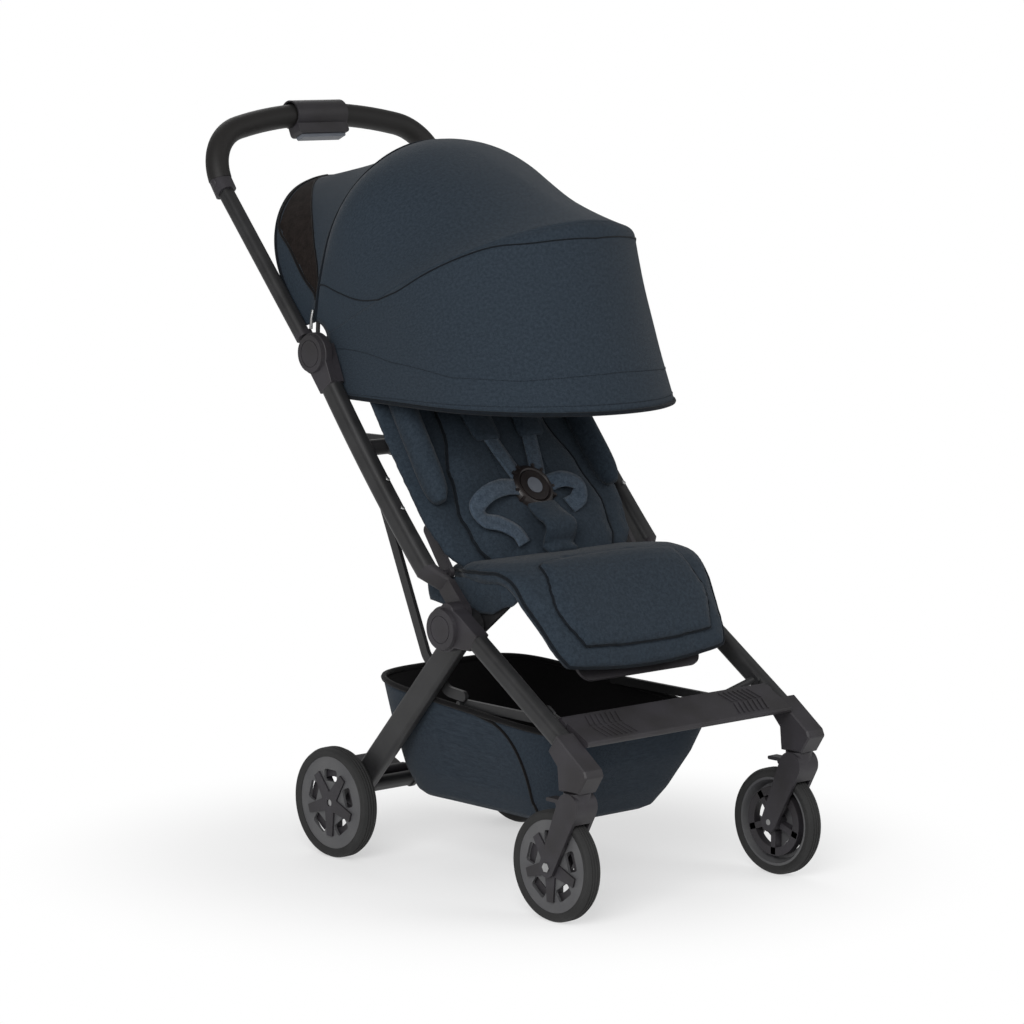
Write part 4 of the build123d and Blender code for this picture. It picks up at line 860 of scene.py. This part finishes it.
def dished(x, run, height):
    """The seat's sides stand up a little and flatten out towards the knee."""
    side = min(1.0, abs(x) / SIDE_HALF) ** 4
    return on_seat(x, run, height + SIDE_RISE * side * max(0.0, 1 - run / SIDE_RUN))


print("seat path:", round(liner_end, 3), "m long")

# %% [markdown]
# ## Cushions
# A cushion is foam in a sewn cover. A block with rounded edges would look hard. So a finely cut cube is
# drawn out to the cushion's outline and crown, and then blown up a little as cloth, so that its cover
# swells and pulls. No point may move far, which keeps the cushion in its place.

# %% Cushion helpers
PUMP_PRESSURE = 4.0
PUMP_FRAMES = 20
TUCK = 0.035


def eased(table, at):
    """Value at a place in a table, with soft turns."""
    first, second, t = rows_around(table, at)
    return first + (second - first) * t * t * (3 - 2 * t)


def rounded(u, v, corner):
    """A place in a square, drawn in towards its corners."""
    return u * math.sqrt(1 - corner * v * v / 2), v * math.sqrt(1 - corner * u * u / 2)


def cushion(point, low, high, half, edge, crown, corner, base=0.0):
    """Places a cube's points as a cushion: rounded corners, crowned top, sides drawn in."""

    def place(u, v, w):
        across, along = rounded(u, v, corner)
        rim = max(abs(u), abs(v)) ** 8
        tuck = 1 - TUCK * w * w * rim
        run = (low + high) / 2 + along * tuck * (high - low) / 2
        dome = (1 - u**4) * (1 - v**4)
        height = base + (w + 1) / 2 * (edge + crown * dome)
        return point(across * tuck * eased(half, run), run, height)

    return place


def plump(obj, cap, voxel):
    """Blows a cushion up as cloth; no point moves past cap."""
    remesh = obj.modifiers.new("remesh", "REMESH")
    remesh.mode = "VOXEL"
    remesh.voxel_size = voxel
    settle(obj)
    rest = [vert.co.copy() for vert in obj.data.vertices]
    cloth = obj.modifiers.new("cloth", "CLOTH")
    cloth.settings.use_pressure = True
    cloth.settings.uniform_pressure_force = PUMP_PRESSURE
    cloth.settings.effector_weights.gravity = 0.0
    cloth.point_cache.frame_end = PUMP_FRAMES
    for step in range(1, PUMP_FRAMES + 1):
        scene.frame_set(step)
    settle(obj)
    scene.frame_set(1)
    for vert, start in zip(obj.data.vertices, rest):
        move = vert.co - start
        if move.length > cap:
            vert.co = start + move.normalized() * cap
    smooth = obj.modifiers.new("smooth", "SUBSURF")
    smooth.levels = smooth.render_levels = 1
    settle(obj)
    obj.data.polygons.foreach_set("use_smooth", [True] * len(obj.data.polygons))


def pillow(name, place, cuts, cap, voxel=0.004):
    """A cushion from a finely cut cube: place(u, v, w) takes values from -1 to 1."""
    bm = bmesh.new()
    bmesh.ops.create_cube(bm, size=2.0)
    bmesh.ops.subdivide_edges(bm, edges=bm.edges, cuts=cuts, use_grid_fill=True)
    for vert in bm.verts:
        vert.co = place(*vert.co)
    bmesh.ops.recalc_face_normals(bm, faces=bm.faces)
    obj = keep_mesh(name, bm, pad_cloth)
    plump(obj, cap, voxel)
    return obj


print("cushion helpers:", PUMP_FRAMES, "frames of swelling")

# %% [markdown]
# ## Seat liner
# The liner is the large cushion of the seat, and a raised panel lies on its leg part. Both could be one
# shape with a step in it, but two cushions that overlap show a deeper and softer line where the panel is
# sewn on.

# %% Seat liner
LINER_HALF = [
    (0.0, 0.148), (0.04, 0.156), (0.08, 0.174), (0.13, 0.178), (0.19, 0.178), (0.26, 0.168), (0.33, 0.152),
]
LINER_CORNER = 0.32
PANEL_HALF = [(0.15, 0.138), (0.22, 0.142), (0.28, 0.130), (0.33, 0.118)]
PANEL_LOW, PANEL_HIGH = 0.158, liner_end - 0.026
PANEL_CORNER = 0.36

liner_shape = cushion(dished, 0.0, liner_end, LINER_HALF, edge=0.021, crown=0.008, corner=LINER_CORNER)
seat_liner = pillow("seat_liner", liner_shape, cuts=26, cap=0.004, voxel=0.005)
panel_shape = cushion(
    on_seat, PANEL_LOW, PANEL_HIGH, PANEL_HALF, edge=0.007, crown=0.007, corner=PANEL_CORNER, base=0.0275
)
leg_panel = pillow("leg_panel", panel_shape, cuts=18, cap=0.004)
print("seat liner:", len(seat_liner.data.polygons), "faces")

# %% [markdown]
# ## Seat piping
# A cord of piping is sewn round the liner and round its leg panel. It could follow the edges of the
# cushion, but those moved as it swelled. So the outline is drawn again and laid on the nearest place of the
# cushion. All four pieces bend at the knee.

# %% Seat piping
RIM_STEPS = 40
LINER_LINE, LINER_LIFT, LINER_CORD = 0.016, 0.0008, 0.0024
PANEL_LINE, PANEL_LIFT, PANEL_CORD = 0.030, 0.0004, 0.0019


def laid_on(points, obj, lift):
    """Points moved to the nearest place on a piece, and off it by lift."""
    surface = BVHTree.FromObject(obj, bpy.context.evaluated_depsgraph_get())
    laid = []
    for point in points:
        at, normal, _, _ = surface.find_nearest(point)
        laid.append(at + normal * lift)
    return laid


def liner_edge(half, low, high, corner, height):
    """The outline of a cushion as a closed line over the seat path."""
    edge = [-1 + 2 * step / RIM_STEPS for step in range(RIM_STEPS)]
    rim = [(t, -1.0) for t in edge] + [(1.0, t) for t in edge]
    rim += [(-t, 1.0) for t in edge] + [(-1.0, -t) for t in edge]
    line = []
    for u, v in rim:
        across, along = rounded(u, v, corner)
        run = (low + high) / 2 + along * (high - low) / 2
        line.append(dished(across * eased(half, run), run, height))
    return line


edge_line = liner_edge(LINER_HALF, 0.0, liner_end, LINER_CORNER, LINER_LINE)
edge_line = laid_on(edge_line, seat_liner, LINER_LIFT)
liner_piping = round_lines("seat_piping", [edge_line], LINER_CORD, piping_painted_shade, closed=True)
panel_line = liner_edge(PANEL_HALF, PANEL_LOW, PANEL_HIGH, PANEL_CORNER, PANEL_LINE)
panel_line = laid_on(panel_line, leg_panel, PANEL_LIFT)
panel_piping = round_lines("leg_panel_piping", [panel_line], PANEL_CORD, piping_painted_shade, closed=True)
for piece in (seat_liner, leg_panel, liner_piping, panel_piping):
    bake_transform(piece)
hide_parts("seat_pad", "calf_pad")
print("seat piping:", len(edge_line), "points round the liner")

# %% [markdown]
# ## Seat skirts
# On each side a strip of cloth hangs from under the liner and hides the hinge of the seat pan. It could be
# part of the liner, but it is thin and hangs free, so it is a sheet of its own. It is deepest in the middle
# and runs out under the knee, and its lower edge waves and curls in a little.

# %% Seat skirts
SKIRT_EDGE = [(0.0, 0.384), (0.35, 0.376), (0.65, 0.377), (0.88, 0.392), (1.0, 0.406)]
SKIRT_HALF, SKIRT_RUN, SKIRT_TOP = 0.164, 0.182, 0.006
SKIRT_CURL, SKIRT_WAVE, SKIRT_WAVES = 0.005, 0.0016, 17
SKIRT_SIZE = (0.18, 0.035)
UNDER_SEAT = Vector((0, -0.12, 0.39))


def skirt_place(side):
    """Places a skirt: u from the back to the knee, v from under the liner to the lower edge."""

    def place(u, v):
        top = dished(SKIRT_HALF, u * SKIRT_RUN, SKIRT_TOP)
        drop = top.z - eased(SKIRT_EDGE, u)
        wave = SKIRT_WAVE * math.sin(u * SKIRT_WAVES) * v
        return Vector((side * (SKIRT_HALF - SKIRT_CURL * v**3 + wave), top.y, top.z - drop * v))

    return place


SIDES = {"right": -1, "left": 1}
for word, side in SIDES.items():
    skirt = cloth_grid("seat_skirt_" + word, 48, 10, skirt_place(side), SKIRT_SIZE, UNDER_SEAT, pad_cloth)
    dress(thicken(skirt, CLOTH), "seat", "navy_cloth")
print("seat skirts:", SKIRT_RUN, "m long")

# %% [markdown]
# ## Backrest
# The backrest is a thin padded panel between the two tubes. Over it lies the liner that a child leans on,
# wide at the hips and narrow at the shoulders. They are cushions like the seat's, on a plane that leans
# with the board. The soft roll on each side could be a cushion too, but it is round, so the cube is drawn
# out to a bar.

# %% Backrest liner
BACK_AXIS = joint_points["backrest_recline"]
BACK_ANGLE = math.radians(54.0)
BACK_ALONG = Vector((0, math.cos(BACK_ANGLE), math.sin(BACK_ANGLE)))
BACK_OUT = Vector((0, -math.sin(BACK_ANGLE), math.cos(BACK_ANGLE)))
FLAP_HALF = [(-0.02, 0.150), (0.03, 0.182), (0.08, 0.190), (0.2, 0.191), (0.31, 0.190)]
LINER_BACK = [(-0.03, 0.110), (0.02, 0.134), (0.066, 0.138), (0.13, 0.122), (0.2, 0.100), (0.31, 0.086)]


def on_back(x, run, height):
    """A point over the backrest: x across, run up from its hinge, height off its board."""
    return Vector((x, BACK_AXIS.y, BACK_AXIS.z)) + BACK_ALONG * run + BACK_OUT * height


flap_shape = cushion(on_back, -0.012, 0.312, FLAP_HALF, edge=0.011, crown=0.003, corner=0.12, base=0.0032)
back_panel = pillow("backrest_panel", flap_shape, cuts=20, cap=0.004, voxel=0.005)
back_shape = cushion(on_back, -0.024, 0.308, LINER_BACK, edge=0.012, crown=0.009, corner=0.25, base=0.0150)
back_liner = pillow("backrest_liner", back_shape, cuts=24, cap=0.004, voxel=0.005)
print("backrest:", len(back_liner.data.polygons), "faces on the liner")

# %% Backrest rolls
ROLL_X, ROLL_LEAN = 0.160, 0.012
ROLL_RUN, ROLL_LONG = 0.190, 0.100
ROLL_HEIGHT, ROLL_WIDE, ROLL_DEEP = 0.031, 0.017, 0.020


def roll_place(side):
    """Places a cube's points as a bar with round ends that leans inwards as it rises."""

    def place(u, v, w):
        ring = math.sqrt(max(0.0, 1 - 0.75 * v**6))
        reach = math.hypot(u, w) or 1.0
        square = max(abs(u), abs(w)) / reach
        x = side * (ROLL_X - ROLL_LEAN * (v + 1) / 2) + u * square * ROLL_WIDE * ring
        return on_back(x, ROLL_RUN + v * ROLL_LONG, ROLL_HEIGHT + w * square * ROLL_DEEP * ring)

    return place


rolls = [
    pillow("backrest_roll_" + word, roll_place(side), cuts=14, cap=0.003) for word, side in SIDES.items()
]
print("backrest rolls:", len(rolls))

# %% [markdown]
# ## Backrest piping and stitches
# Piping runs round the liner, and two lines of stitches divide it into channels. The channels could be
# pressed into the foam, but the stitches alone already show them, and they are laid on the swollen cushion.

# %% Backrest piping and stitches
BACK_STEPS = 60
BACK_LIFT, BACK_CORD = 0.0008, 0.0023
EDGE_LOW, EDGE_RUN, EDGE_HEIGHT = -0.022, 0.326, 0.026
CHANNEL_LIFT, CHANNEL_THREAD = 0.0003, 0.0006
CHANNEL_X, CHANNEL_LOW, CHANNEL_RUN, CHANNEL_HEIGHT = 0.045, 0.10, 0.19, 0.06

runs = [EDGE_LOW + EDGE_RUN * step / BACK_STEPS for step in range(BACK_STEPS + 1)]
right, left = ([on_back(side * eased(LINER_BACK, run), run, EDGE_HEIGHT) for run in runs] for side in (-1, 1))
back_edge = laid_on(right + left[::-1], back_liner, BACK_LIFT)
back_piping = round_lines("backrest_piping", [back_edge], BACK_CORD, piping_painted_shade, closed=True)
runs = [CHANNEL_LOW + CHANNEL_RUN * step / BACK_STEPS for step in range(BACK_STEPS + 1)]
channel_runs = []
for x in (-CHANNEL_X, CHANNEL_X):
    guide = [on_back(x, run, CHANNEL_HEIGHT) for run in runs]
    channel_runs += stitch_runs(laid_on(guide, back_liner, CHANNEL_LIFT))
back_stitches = round_lines("backrest_stitches", channel_runs, CHANNEL_THREAD, thread, sides=1)
for piece in (back_panel, back_liner, *rolls, back_piping, back_stitches):
    dress(piece, "backrest", "navy_cloth")
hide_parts("backrest_pad")
print("backrest:", len(channel_runs), "stitches")

# %% [markdown]
# ## Harness straps
# Five straps meet in the round buckle. The shoulder straps run up under two padded sleeves, the waist
# straps lie in loose loops to each side, and a padded tongue holds the buckle to the seat. A strap could be
# a curve with a flat profile, but it would twist. Here it is a ribbon along a line, turned so that it lies
# on the liner.

# %% Harness straps
WEB, WEB_THICK, WEB_STEPS = 0.025, 0.0018, 40
WEB_LIFT = 0.0035
PROBE = 0.2
BEHIND_SEAT = Vector((0, 2, -2))
SHOULDER = [
    (0.018, 0.106, 0.0405), (0.030, 0.150, 0.0395), (0.044, 0.210, 0.0395), (0.052, 0.268, 0.037),
    (0.054, 0.300, 0.030),
]
STRAPS = {  # x, run and height on the backrest
    "shoulder_strap_right": [(-x, run, height) for x, run, height in SHOULDER],
    "shoulder_strap_left": SHOULDER,
    "waist_strap_right": [
        (-0.026, 0.094, 0.043), (-0.060, 0.093, 0.050), (-0.095, 0.084, 0.052), (-0.118, 0.068, 0.047),
        (-0.110, 0.050, 0.043), (-0.086, 0.042, 0.043), (-0.066, 0.026, 0.044), (-0.060, 0.008, 0.043),
    ],
    "waist_strap_left": [
        (0.026, 0.094, 0.043), (0.052, 0.095, 0.052), (0.074, 0.084, 0.052), (0.070, 0.066, 0.046),
        (0.050, 0.058, 0.041),
    ],
}
liner_tree = BVHTree.FromObject(back_liner, bpy.context.evaluated_depsgraph_get())


def over_liner(x, run, height):
    """A place on the backrest, raised where it would lie inside the liner."""
    hit = liner_tree.ray_cast(on_back(x, run, PROBE), -BACK_OUT)[3]
    return on_back(x, run, max(height, PROBE - hit + WEB_LIFT) if hit else height)


def back_strap(name, places):
    """A flat strap through some places on the backrest."""
    points = [over_liner(*at) for at in places]
    last = len(points) - 1
    sides = [(points[min(i + 1, last)] - points[max(i - 1, 0)]).cross(BACK_OUT) for i in range(last + 1)]
    line = smoothed(points, WEB_STEPS)
    wide = [side.normalized() for side in smoothed(sides, WEB_STEPS)]
    length = sum((b - a).length for a, b in zip(line, line[1:]))

    def place(u, v):
        at = min(int(round(v * WEB_STEPS)), WEB_STEPS)
        return line[at] + wide[at] * (u - 0.5) * WEB

    sheet = cloth_grid(name, 4, WEB_STEPS, place, (WEB, length), BEHIND_SEAT, FINISHES["strap_web"])
    return dress(thicken(sheet, WEB_THICK, offset=0.0), "backrest", "strap_web")


straps = [back_strap(name, places) for name, places in STRAPS.items()]
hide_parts("harness_straps")
print("harness:", len(straps), "straps")

# %% [markdown]
# ## Sleeves and tongue
# The sleeves on the shoulder straps and the tongue under the buckle are thin pads. They could be thick
# straps, but a pad is full in the middle and thin at its edges. So they are cushions: the sleeves lie on
# the liner, and the tongue bends from the backrest to the seat.

# %% Sleeves and tongue
SLEEVE_X, SLEEVE_LEAN, SLEEVE_HALF = 0.040, 0.012, 0.027
SLEEVE_RUN, SLEEVE_LONG = 0.232, 0.062
SLEEVE_HEIGHT, SLEEVE_LIFT, SLEEVE_THICK = 0.041, 0.001, 0.0058
TONGUE_STEPS = 60
TONGUE_HALF, TONGUE_THICK = 0.029, 0.006
TONGUE = smoothed(
    [
        on_back(0, 0.066, 0.043), on_back(0, 0.044, 0.052), on_back(0, 0.020, 0.062),
        on_seat(0, 0.088, 0.040), on_seat(0, 0.104, 0.034),
    ],
    TONGUE_STEPS,
)


def sleeve_place(side):
    """Places a cube's points as a sleeve on a shoulder strap."""

    def place(u, v, w):
        strap_x = side * (SLEEVE_X + SLEEVE_LEAN * (v + 1) / 2)
        middle = over_liner(strap_x, SLEEVE_RUN + v * SLEEVE_LONG, SLEEVE_HEIGHT)
        x = strap_x + u * SLEEVE_HALF * math.sqrt(1 - 0.5 * v * v / 2)
        lift = SLEEVE_LIFT + w * SLEEVE_THICK * (1 - 0.55 * u**4) * (1 - 0.4 * v**6)
        return Vector((x, middle.y, middle.z)) + BACK_OUT * lift

    return place


def tongue_place(u, v, w):
    """Places a cube's points as a pad along the line of the tongue."""
    share = (v + 1) / 2 * TONGUE_STEPS
    at = min(int(share), TONGUE_STEPS - 1)
    ahead = (TONGUE[at + 1] - TONGUE[at]).normalized()
    up = Vector((0, ahead.z, -ahead.y))
    middle = TONGUE[at].lerp(TONGUE[at + 1], share - at)
    width = TONGUE_HALF * math.sqrt(1 - 0.4 * v * v / 2)
    return middle + Vector((u * width, 0, 0)) + up * w * TONGUE_THICK * (1 - 0.55 * u**4)


sleeves = [
    pillow("shoulder_sleeve_" + word, sleeve_place(side), cuts=14, cap=0.002) for word, side in SIDES.items()
]
crotch_tongue = pillow("crotch_tongue", tongue_place, cuts=18, cap=0.002)
for piece in (*sleeves, crotch_tongue):
    dress(piece, "backrest", "strap_web")
print("harness:", len(sleeves), "sleeves and a tongue")

# %% [markdown]
# ## Buckle ring
# The buckle is a round housing with two small lugs at each of its five straps. It could be cut from a
# cylinder, but a profile that is spun once round gives the soft edge of a moulding with few points. The
# lugs are blocks.

# %% Buckle ring
BUCKLE = on_back(0, 0.092, 0.0392)
RING = [(0.0245, 0.0), (0.0245, 0.0085), (0.0265, 0.0102), (0.0300, 0.0090), (0.0335, 0.0050), (0.0345, 0.0)]
LUG_PAIRS, LUG_LEAN = 5, 24
LUG_SIZE, LUG_AT = (0.008, 0.004, 0.0085), (0.0325, 0, 0.0045)


def add_ring(bm, profile, axis, steps):
    """Adds a closed profile of (x, z) places, spun once round an axis."""
    verts = [bm.verts.new((x, 0, z)) for x, z in profile]
    edges = [bm.edges.new(pair) for pair in zip(verts, verts[1:] + verts[:1])]
    bmesh.ops.spin(
        bm, geom=verts + edges, cent=(0, 0, 0), axis=axis, angle=math.tau, steps=steps, use_merge=True
    )


def add_block(bm, size, at, turn):
    """Adds a box at a place and turns it round the origin."""
    block = bmesh.ops.create_cube(bm, size=1.0)["verts"]
    bmesh.ops.scale(bm, verts=block, vec=size)
    bmesh.ops.translate(bm, verts=block, vec=at)
    bmesh.ops.rotate(bm, verts=block, cent=(0, 0, 0), matrix=turn)


def keep_hard(name, bm, slot, sharp):
    """The object of a moulding, with its edges sharp from an angle on."""
    bmesh.ops.recalc_face_normals(bm, faces=bm.faces)
    obj = keep_mesh(name, bm, FINISHES[slot])
    obj.data.set_sharp_from_angle(angle=math.radians(sharp))
    return obj


bm = bmesh.new()
add_ring(bm, RING, axis=(0, 0, 1), steps=60)
for number in range(LUG_PAIRS):
    for lean in (-LUG_LEAN, LUG_LEAN):
        angle = math.radians(90 + 360 / LUG_PAIRS * number + lean)
        add_block(bm, LUG_SIZE, LUG_AT, Matrix.Rotation(angle, 3, "Z"))
bmesh.ops.remove_doubles(bm, verts=bm.verts, dist=1e-5)
turn = Matrix((Vector((1, 0, 0)), BACK_ALONG, BACK_OUT)).transposed().to_4x4()
bmesh.ops.transform(bm, verts=bm.verts, matrix=Matrix.Translation(BUCKLE) @ turn)
buckle_ring = keep_hard("buckle_ring", bm, "buckle_plastic", 35)
dress(buckle_ring, "backrest", "buckle_plastic")
print("buckle ring:", len(buckle_ring.data.polygons), "faces")

# %% [markdown]
# ## Own meshes for the pieces on the backrest
# The frame folds the backrest onto the seat, and the foam of the liner and all that lies on it is pressed flat
# then. These pieces do not get thinner towards the board: they stay as they are and cut into the seat, and
# each only gets a mesh of its own.

# %% Own meshes for the backrest pieces
pressed = (back_liner, back_piping, back_stitches, *rolls, *straps, *sleeves, crotch_tongue)
for piece in pressed:
    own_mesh(piece)
print("pressed by the fold:", len(pressed), "pieces")

# %% [markdown]
# ## Basket
# The basket is a sling of navy cloth with a black lining. Its bottom is round like a hull. A box with
# rounded edges would be too stiff for it, so every level is a rounded rectangle of its own, and the levels
# grow from the floor up to the rim. The rim leans with the bars that carry it and is bound in black.

# %% Basket shell
BASKET_LEVELS = [  # height, half width, front and back
    (0.092, 0.0, -0.0668, -0.0668), (0.092, 0.094, -0.2203, 0.0777), (0.101, 0.106, -0.234, 0.087),
    (0.130, 0.121, -0.2540, 0.1000), (0.185, 0.139, -0.2863, 0.1117), (0.2402, 0.151, -0.3103, 0.1237),
]
BASKET_CORNER = 0.42
IN_BASKET = Vector((0, -0.1, 0.2))
BASKET_CLOTH, BASKET_SAG = 0.0018, 0.004
RIM_SLOPE, RIM_MIDDLE = 0.0335 / 0.408, 0.0963
RIM_POINTS, RIM_CORD = 160, 0.0042


def basket_level(v):
    """Height, half width, front and back of the basket at a share of its depth."""
    at = v * (len(BASKET_LEVELS) - 1)
    low = min(int(at), len(BASKET_LEVELS) - 2)
    return [a + (b - a) * (at - low) for a, b in zip(BASKET_LEVELS[low], BASKET_LEVELS[low + 1])]


def basket_point(u, v, lift=0.0):
    """A point of the shell: u once round, v from the floor to the rim."""
    height, half, front, back = basket_level(v)
    angle = u * math.tau
    x, y = (math.copysign(abs(side) ** BASKET_CORNER, side) for side in (math.cos(angle), math.sin(angle)))
    x *= half + lift
    y = y * ((back - front) / 2 + lift) + (front + back) / 2
    lean = (y + RIM_MIDDLE) * RIM_SLOPE * v**2
    sag = BASKET_SAG * math.sin(angle * 2) ** 2 * math.sin(math.pi * v)
    return Vector((x, y, height + lean - sag))


basket = cloth_grid(
    "basket", 128, 36, basket_point, (1.20, 0.30), IN_BASKET, FINISHES["basket_cloth"], lining_cloth
)
bm = bmesh.new()
bm.from_mesh(basket.data)
bmesh.ops.remove_doubles(bm, verts=bm.verts, dist=1e-5)
bm.to_mesh(basket.data)
bm.free()
thicken(basket, BASKET_CLOTH, inner=1)
dress(basket, "front_frame", "basket_cloth", "storage_basket")
rim_line = [basket_point(step / RIM_POINTS, 1.0, -BASKET_CLOTH / 2) for step in range(RIM_POINTS)]
basket_rim = round_lines("basket_rim", [rim_line], RIM_CORD, lining_cloth, closed=True)
dress(basket_rim, "front_frame", "basket_cloth")
print("basket:", len(basket.data.polygons), "faces")

# %% [markdown]
# ## Basket seams
# On each side a piped seam climbs from the front of the floor to the middle of the rim. It is a cord that
# is laid on the shell, as on the cushions.

# %% Basket seams
SEAM_START, SEAM_BEND, SEAM_FOOT = 0.115, 0.7, 0.10
CLIMB_STEPS, CLIMB_LIFT, CLIMB_CORD = 40, 0.0006, 0.0021


def side_seam(side, way):
    """A seam up the shell that ends at a side's middle."""
    line = []
    for step in range(CLIMB_STEPS + 1):
        share = step / CLIMB_STEPS
        line.append(basket_point(side + way * SEAM_START * (1 - share) ** SEAM_BEND, SEAM_FOOT + 0.9 * share))
    return laid_on(line, basket, CLIMB_LIFT)


climbs = [side_seam(0.5, 1), side_seam(0.0, -1)]
basket_piping = round_lines("basket_piping", climbs, CLIMB_CORD, lining_cloth)
dress(basket_piping, "front_frame", "basket_cloth")
print("basket seams:", len(basket_piping.data.polygons), "faces")

# %% [markdown]
# ## Tyres
# The tyres have three fine grooves in their tread. A picture could show them, but not at the outline. So
# each tyre is one profile that is spun round the axle, and it spins with its wheel in place of the plain
# CAD ring.

# %% Tyres
WHEELS = [(end, side) for end in ("front", "rear") for side in ("left", "right")]
TYRE_WALL = {"front": 0.0125, "rear": 0.0130}
BEAD, BULGE, BULGE_UP, WALL_TOP = 0.80, 0.97, 0.35, 0.0070
SHOULDER, SHOULDER_RISE = 0.0045, 0.0030
GROOVES, CROWN_DROP = (-0.38, 0.0, 0.38), 0.0012
GROOVE_DEPTH, GROOVE_TOP, GROOVE_FLOOR = 0.0012, 0.0016, 0.0008


def node_box(name):
    """The two corners of a CAD node."""
    corners = [nodes[name].matrix_world @ Vector(corner) for corner in nodes[name].bound_box]
    return [Vector([pick(corner[i] for corner in corners) for i in range(3)]) for pick in (min, max)]


def tyre(end, side):
    """A grooved tyre round the X axis, in the box of the CAD tyre."""
    node = f"{end}_wheel_tyre_{side}"
    low, high = node_box(node)
    outer, half = (high.z - low.z) / 2, (high.x - low.x) / 2
    inner = outer - TYRE_WALL[end]
    wall = [(-half * BEAD, inner), (-half * BULGE, inner + BULGE_UP * (outer - inner))]
    wall.append((-half, outer - WALL_TOP))
    for step in range(5):
        angle = math.radians(18 * step)
        rise = SHOULDER_RISE * math.sin(angle)
        wall.append((-half + SHOULDER * (1 - math.cos(angle)), outer - SHOULDER + rise))
    tread = []
    for groove in GROOVES:
        at, crown = groove * half, outer - CROWN_DROP * groove**2
        tread += [(at - GROOVE_TOP, crown), (at - GROOVE_FLOOR, crown - GROOVE_DEPTH)]
        tread += [(at + GROOVE_FLOOR, crown - GROOVE_DEPTH), (at + GROOVE_TOP, crown)]
    bm = bmesh.new()
    add_ring(bm, wall + tread + [(-x, r) for x, r in reversed(wall)], axis=(1, 0, 0), steps=96)
    bmesh.ops.remove_doubles(bm, verts=bm.verts, dist=1e-5)
    bmesh.ops.translate(bm, verts=bm.verts, vec=(low + high) / 2)
    obj = keep_hard(f"{end}_tyre_{side}", bm, "tyre_rubber", 40)
    dress(obj, f"{end}_wheel_{side}", "tyre_rubber", node)


for end, side in WHEELS:
    tyre(end, side)
print("tyres:", len(WHEELS), "with", len(GROOVES), "grooves each")

# %% [markdown]
# ## Wheel ribs
# Behind each arm of a wheel's hub stands a deep rib, and a ring joins the ribs inside the rim, so that
# little light comes through the windows between the arms. They could be cut into the dish. Blocks behind it
# show the same from outside. One arm points straight down, and the others follow round the axle.

# %% Wheel ribs
RIB_SIZE = Vector((0.0115, 0.033, 0.0085))
RIB_START, RIB_SET_IN = 0.0135, 0.0026
RING_IN, RING_OUT = 0.0365, 0.0480
ARMS = 5


def wheel_ribs(end, side):
    """The ribs of one wheel, as boxes that stand round its axle, and their ring."""
    low, high = node_box(f"{end}_wheel_tyre_{side}")
    middle = (low + high) / 2
    bm = bmesh.new()
    for arm in range(ARMS):
        turn = Matrix.Rotation(math.tau * arm / ARMS - math.pi / 2, 3, "X")
        add_block(bm, RIB_SIZE, (0, RIB_START + RIB_SIZE.y / 2, 0), turn)
    deep = RIB_SIZE.x / 2
    band = [(deep, RING_IN), (-deep, RING_IN), (-deep, RING_OUT), (deep, RING_OUT)]
    add_ring(bm, band, axis=(1, 0, 0), steps=64)
    inward = Vector((-math.copysign(RIB_SET_IN, middle.x), 0, 0))
    bmesh.ops.translate(bm, verts=bm.verts, vec=middle + inward)
    ribs = keep_hard(f"{end}_wheel_ribs_{side}", bm, "black_plastic", 40)
    dress(ribs, f"{end}_wheel_{side}", "black_plastic")


for end, side in WHEELS:
    wheel_ribs(end, side)
print("wheel ribs:", ARMS, "on each wheel")

# %% [markdown]
# ## Rivets and buttons
# Two rivets hold the hinge insert in the front face of each seat tube, and each collar of the handle has a
# round button on its outer side. They could be cylinders with a bevel. A sphere that is pressed flat is
# simpler, and half of it sinks into what it sits on.

# %% Rivets and buttons
TUBE_FOOT, TUBE_RUN = Vector((0, -0.0968, 0.4427)), Vector((0, 0.196, 0.232))
TUBE_FRONT = Vector((0, -0.764, 0.645))
RIVET_X, RIVET_SHARES = 0.206, (0.462, 0.305)
BUTTON_Y, BUTTON_Z = 0.353, 0.936
RIVET_SIZE, BUTTON_SIZE = (0.0032, 0.0014), (0.0062, 0.0022)


def studs(name, places, facing, radius, height, body, slot):
    """Low domes at some places, all standing out along facing."""
    turn = facing.to_track_quat("X", "Z").to_matrix().to_4x4()
    bm = bmesh.new()
    for place in places:
        dome = bmesh.ops.create_uvsphere(bm, u_segments=24, v_segments=12, radius=1.0)["verts"]
        bmesh.ops.scale(bm, verts=dome, vec=(height, radius, radius))
        bmesh.ops.transform(bm, verts=dome, matrix=Matrix.Translation(place) @ turn)
    dress(keep_mesh(name, bm, FINISHES[slot]), body, slot)


tube_places = [TUBE_FOOT + TUBE_RUN * share for share in RIVET_SHARES]
rivets = [Vector((x, 0, 0)) + place for x in (-RIVET_X, RIVET_X) for place in tube_places]
studs("tube_rivets", rivets, TUBE_FRONT, *RIVET_SIZE, "seat_frame", "bolt_steel")
buttons = [Vector((corner.x, BUTTON_Y, BUTTON_Z)) for corner in node_box("handle_collars")]
studs("collar_buttons", buttons, Vector((1, 0, 0)), *BUTTON_SIZE, "handle", "black_plastic")
print("rivets:", len(rivets), "and collar buttons:", len(buttons))
